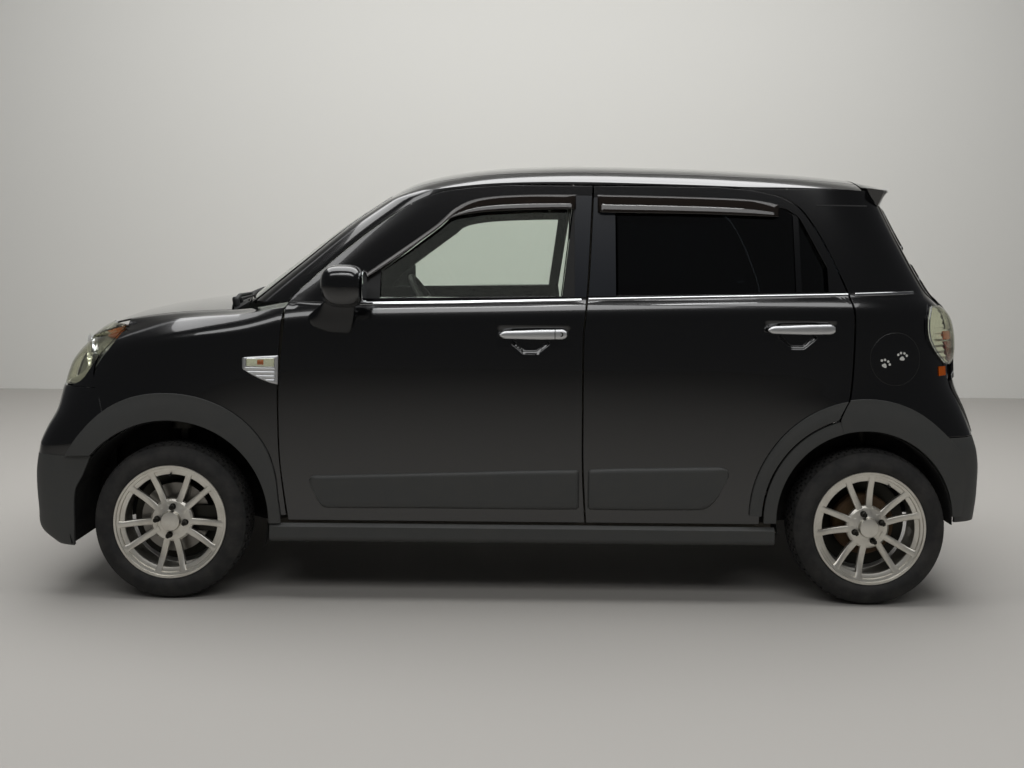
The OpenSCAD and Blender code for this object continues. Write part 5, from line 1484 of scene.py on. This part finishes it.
finished = {
    "dashboard": "grainedCabinPlastic", "floor_pan": "pressedFeltLiner", "steering_wheel": "grainedCabinPlastic", "cowl": "mouldedBlackPlastic",
    "inner_frame_left": "mouldedPillarTrim", "inner_frame_right": "mouldedPillarTrim", "engine_block": "sandCastAlloy", "exhaust": "weatheredMildSteel",
    "fuel_tank": "mouldedBlackPlastic", "front_suspension": "blackenedSteel", "rear_axle": "blackenedSteel",
    "knuckle_left": "blackenedSteel", "knuckle_right": "blackenedSteel", "arch_liners": "pressedFeltLiner", "gate_trim": "glossBlackAcrylic",
}
for nodeName, finish in finished.items():
    for index in range(len(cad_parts[nodeName].material_slots)):
        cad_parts[nodeName].material_slots[index].material = materials[finish]
print("cabin made")


# Cladding and bright trim

cladding = {
    "lift": 11,
    "sillLow": 204,
    "sillHigh": 268,
    "frontFlare": [(-62, 354, 424), (-47, 354, 435), (-24, 354, 453), (0, 354, 450), (32, 354, 445), (52, 354, 432),
                   (66, 354, 412), (78, 354, 396), (92, 354, 398)],
    "rearFlare": [(-92, 311, 357), (-14, 311, 357)],
    "rearFlareBack": [(-15, 311, 424), (20, 311, 424), (40, 311, 417), (62, 311, 412), (78, 311, 372), (90, 311, 350)],
    "doorFlare": [(-90, 363, 406), (-70, 363, 408), (-55, 363, 409), (-30, 363, 415), (-8, 363, 420)],
    "frontPlateLow": [(-700, 424), (-690, 398), (-668, 352), (-655, 335), (-636, 328), (-300, 329), (238, 330),
                      (247, 338)],
    "frontPlateHigh": [(-700, 428), (-690, 440), (-670, 442), (-300, 454), (236, 470), (247, 462)],
    "rearPlateLow": [(277, 338), (286, 330), (640, 331), (682, 334), (706, 346), (730, 372), (756, 420), (772, 452)],
    "rearPlateHigh": [(277, 462), (286, 472), (500, 479), (730, 484), (752, 482), (766, 474), (772, 460)],
    "liner": {"front": (349, 405, -104, 104), "rear": (308, 556, -100, 93)},
}


def flare(name, bodyName, side, arch, table, start, end, n, replaces=()):
    # A wheel arch moulding: flat on the body, rounded at its outer edge, turned in at the wheel.
    # start and end give an angle for each share v of its width.
    lift = cladding["lift"]
    inner = [(a, r0) for a, r0, r1 in table]
    outer = [(a, r1) for a, r0, r1 in table]

    def place(u, v):
        share = clamp01((v - 0.18) / 0.7)
        a = mix(start(share), end(share), u)
        r = mix(along(inner, a) + 2, along(outer, a), share)
        x, z = arch[0] + r * math.sin(math.radians(a)), arch[1] + r * math.cos(math.radians(a))
        out = lift + 5 * math.sin(math.pi * clamp01(v / 0.8)) * 0.5
        if v > 0.88:
            out = lift * (1 - ((v - 0.88) / 0.12)**2) + 0.4
        if v < 0.18:
            out = lift - 26 * (1 - v / 0.18)
        return [x, side * (sideY(x, z) + out), z]

    return panel(name, bodyName, n, 16, place, "grainedPolypropylene", thick=3, edge=0.8, replaces=replaces)


def frontStart(share):
    # The front flare starts on the level where the lower bumper begins.
    return -math.degrees(math.acos(229 / mix(354, 429, share)))


def cornerAngle(share):
    # The rounded rear corner of the rear door, seen from the middle of the arch.
    return mix(-14.8, -7.4, clamp01((share - 0.42) / 0.58))


def sillSkirt(name, side):
    def place(u, v):
        x = mix(-836, 932, u)
        z = mix(cladding["sillLow"] + 2, cladding["sillHigh"] + 6, v)
        out = 4 - 26 * (1 - clamp01(v / 0.25))**2 - 12 * clamp01((v - 0.85) / 0.15)
        return [x, side * (car["halfWidth"] + out), z]

    return panel(name, "body", 60, 12, place, "grainedPolypropylene", thick=20)


def plateOut(u, v):
    # Height of a door plate above the door: a soft rim, then flat with a crease low down.
    rim = min(v, 1 - v, 6 * u, 6 * (1 - u))
    return 0.4 + 8 * clamp01(rim / 0.09)**0.5 - 0.8 * math.exp(-((v - 0.13) / 0.02)**2)


def archLiner(name, side, arch, spec):
    # The inside of a wheel arch: a curved band, closed towards the middle of the car.
    radius, deep, start, end = spec

    def place(u, v):
        a = math.radians(mix(start, end, u))
        r = radius if v < 0.7 else mix(radius, 60, (v - 0.7) / 0.3)
        y = mix(708, deep, clamp01(v / 0.7))
        return [arch[0] + r * math.sin(a), side * y, arch[1] + r * math.cos(a)]

    return panel(name, "body", 60, 20, place, "pressedFeltLiner", thick=2, edge=0, replaces=["arch_liners"])


for sideName, side in sides.items():
    frontBody, rearBody = "front_door_" + sideName, "rear_door_" + sideName
    both = ["body_cladding"]
    flare("frontFlare." + sideName, "body", side, body["frontArch"], cladding["frontFlare"], frontStart,
          lambda share: 90, 84, both)
    flare("rearFlareFront." + sideName, "body", side, body["rearArch"], cladding["rearFlare"], lambda share: -92,
          lambda share: -14.9, 48)
    flare("rearFlareBack." + sideName, "body", side, body["rearArch"], cladding["rearFlareBack"], cornerAngle,
          lambda share: 88, 64)
    flare("doorFlare." + sideName, rearBody, side, body["rearArch"], cladding["doorFlare"], lambda share: -88,
          lambda share: mix(-15.6, -8.7, share), 48, ["rear_door_trim_" + sideName])
    archLiner("frontLiner." + sideName, side, body["frontArch"], cladding["liner"]["front"])
    archLiner("rearLiner." + sideName, side, body["rearArch"], cladding["liner"]["rear"])
    sillSkirt("sillSkirt." + sideName, side)
    band("frontDoorPlate." + sideName, frontBody, side, cladding["frontPlateLow"], cladding["frontPlateHigh"], -700, 247,
         "grainedPolypropylene", plateOut, 120, 24, thick=2, edge=0, replaces=["front_door_trim_" + sideName],
         slot="grey_plastic")
    band("rearDoorPlate." + sideName, rearBody, side, cladding["rearPlateLow"], cladding["rearPlateHigh"], 277, 772,
         "grainedPolypropylene", plateOut, 90, 24, thick=2, edge=0)
    ribbon("frontBeltStrip." + sideName, frontBody, side, [(-560, 1044), (-200, 1052), (250, 1064)], 10,
           "brightRolledSteel")
    ribbon("rearBeltStrip." + sideName, rearBody, side, [(276, 1066), (700, 1078), (1196, 1091)], 10,
           "brightRolledSteel")
print("cladding made")

# Stage, light and camera

view = {
    "place": (0.0035, -4.35, 1.237),
    "lens": 36.4,
    "shift": -0.1306,
    "roll": 0.0099,
    "floor": "#aeaba6",
    "wall": "#e0dfda",
    "key": 380,
    "rim": 34,
    "sideStrip": 110,
    "tube": 20,
}


def stagePiece(name, color, rough, size, spot, turn=(0, 0, 0)):
    bm = bmesh.new()
    bmesh.ops.create_grid(bm, x_segments=1, y_segments=1, size=size)
    mesh = bpy.data.meshes.new(name)
    bm.to_mesh(mesh)
    bm.free()
    made = bpy.data.objects.new(name, mesh)
    made.location = spot
    made.rotation_euler = turn
    bpy.context.scene.collection.objects.link(made)
    material = bpy.data.materials.new(name)
    material.use_nodes = True
    shader = material.node_tree.nodes["Principled BSDF"]
    shader.inputs["Base Color"].default_value = linear(color)
    shader.inputs["Roughness"].default_value = rough
    mesh.materials.append(material)
    return material


def softbox(name, spot, aim, size, power):
    light = bpy.data.lights.new(name, "AREA")
    light.shape = "RECTANGLE"
    light.size, light.size_y = size
    light.energy = power
    made = bpy.data.objects.new(name, light)
    made.location = spot
    made.rotation_euler = (Vector(aim) - Vector(spot)).to_track_quat("-Z", "Y").to_euler()
    bpy.context.scene.collection.objects.link(made)


stagePiece("floor", view["floor"], 0.8, 10, (0, 0, 0))
wall = stagePiece("wall", view["wall"], 0.95, 10, (0, 4.6, 0), (math.pi / 2, 0, 0)).node_tree
# The wall can be looked through from behind, so the far side of the car shows too
seen = wall.nodes.new("ShaderNodeNewGeometry")
clear = wall.nodes.new("ShaderNodeBsdfTransparent")
either = wall.nodes.new("ShaderNodeMixShader")
wall.links.new(seen.outputs["Backfacing"], either.inputs[0])
wall.links.new(wall.nodes["Principled BSDF"].outputs[0], either.inputs[1])
wall.links.new(clear.outputs[0], either.inputs[2])
wall.links.new(either.outputs[0], wall.nodes["Material Output"].inputs["Surface"])
softbox("topLight", (0, 0.4, 5.2), (0, 0.4, 0), (8, 5), view["key"])
softbox("sideLight", (0, -5.4, 5.4), (0, 0, 0.3), (9, 1.2), view["sideStrip"])
softbox("tubeLight", (0.3, -4.3, 5.2), (0.3, 0, 0.9), (3.6, 0.14), view["tube"])
softbox("rimLight", (0, 1.6, 5.4), (0, 4.6, 1.0), (12, 1.2), view["rim"])
world = bpy.data.worlds.new("room")
bpy.context.scene.world = world
world.use_nodes = True
room = world.node_tree
room.nodes["Background"].inputs["Color"].default_value = linear("#8f9092")
room.nodes["Background"].inputs["Strength"].default_value = 0.24
# Past the floor the eye meets a pale background that gives the car no light
pale = room.nodes.new("ShaderNodeBackground")
pale.inputs["Color"].default_value = linear("#c6c5c0")
path = room.nodes.new("ShaderNodeLightPath")
direct = room.nodes.new("ShaderNodeMath")
direct.operation = "MAXIMUM"
choice = room.nodes.new("ShaderNodeMixShader")
room.links.new(path.outputs["Is Camera Ray"], direct.inputs[0])
room.links.new(path.outputs["Is Transmission Ray"], direct.inputs[1])
room.links.new(direct.outputs[0], choice.inputs[0])
room.links.new(room.nodes["Background"].outputs[0], choice.inputs[1])
room.links.new(pale.outputs[0], choice.inputs[2])
room.links.new(choice.outputs[0], room.nodes["World Output"].inputs["Surface"])

lens = bpy.data.cameras.new("camera")
lens.sensor_width = 36
lens.lens = view["lens"]
lens.shift_y = view["shift"]
camera = bpy.data.objects.new("camera", lens)
camera.location = view["place"]
camera.rotation_euler = (math.pi / 2, -view["roll"], 0)
bpy.context.scene.collection.objects.link(camera)
bpy.context.scene.camera = camera
bpy.context.scene.view_settings.view_transform = "Standard"
print("stage made")
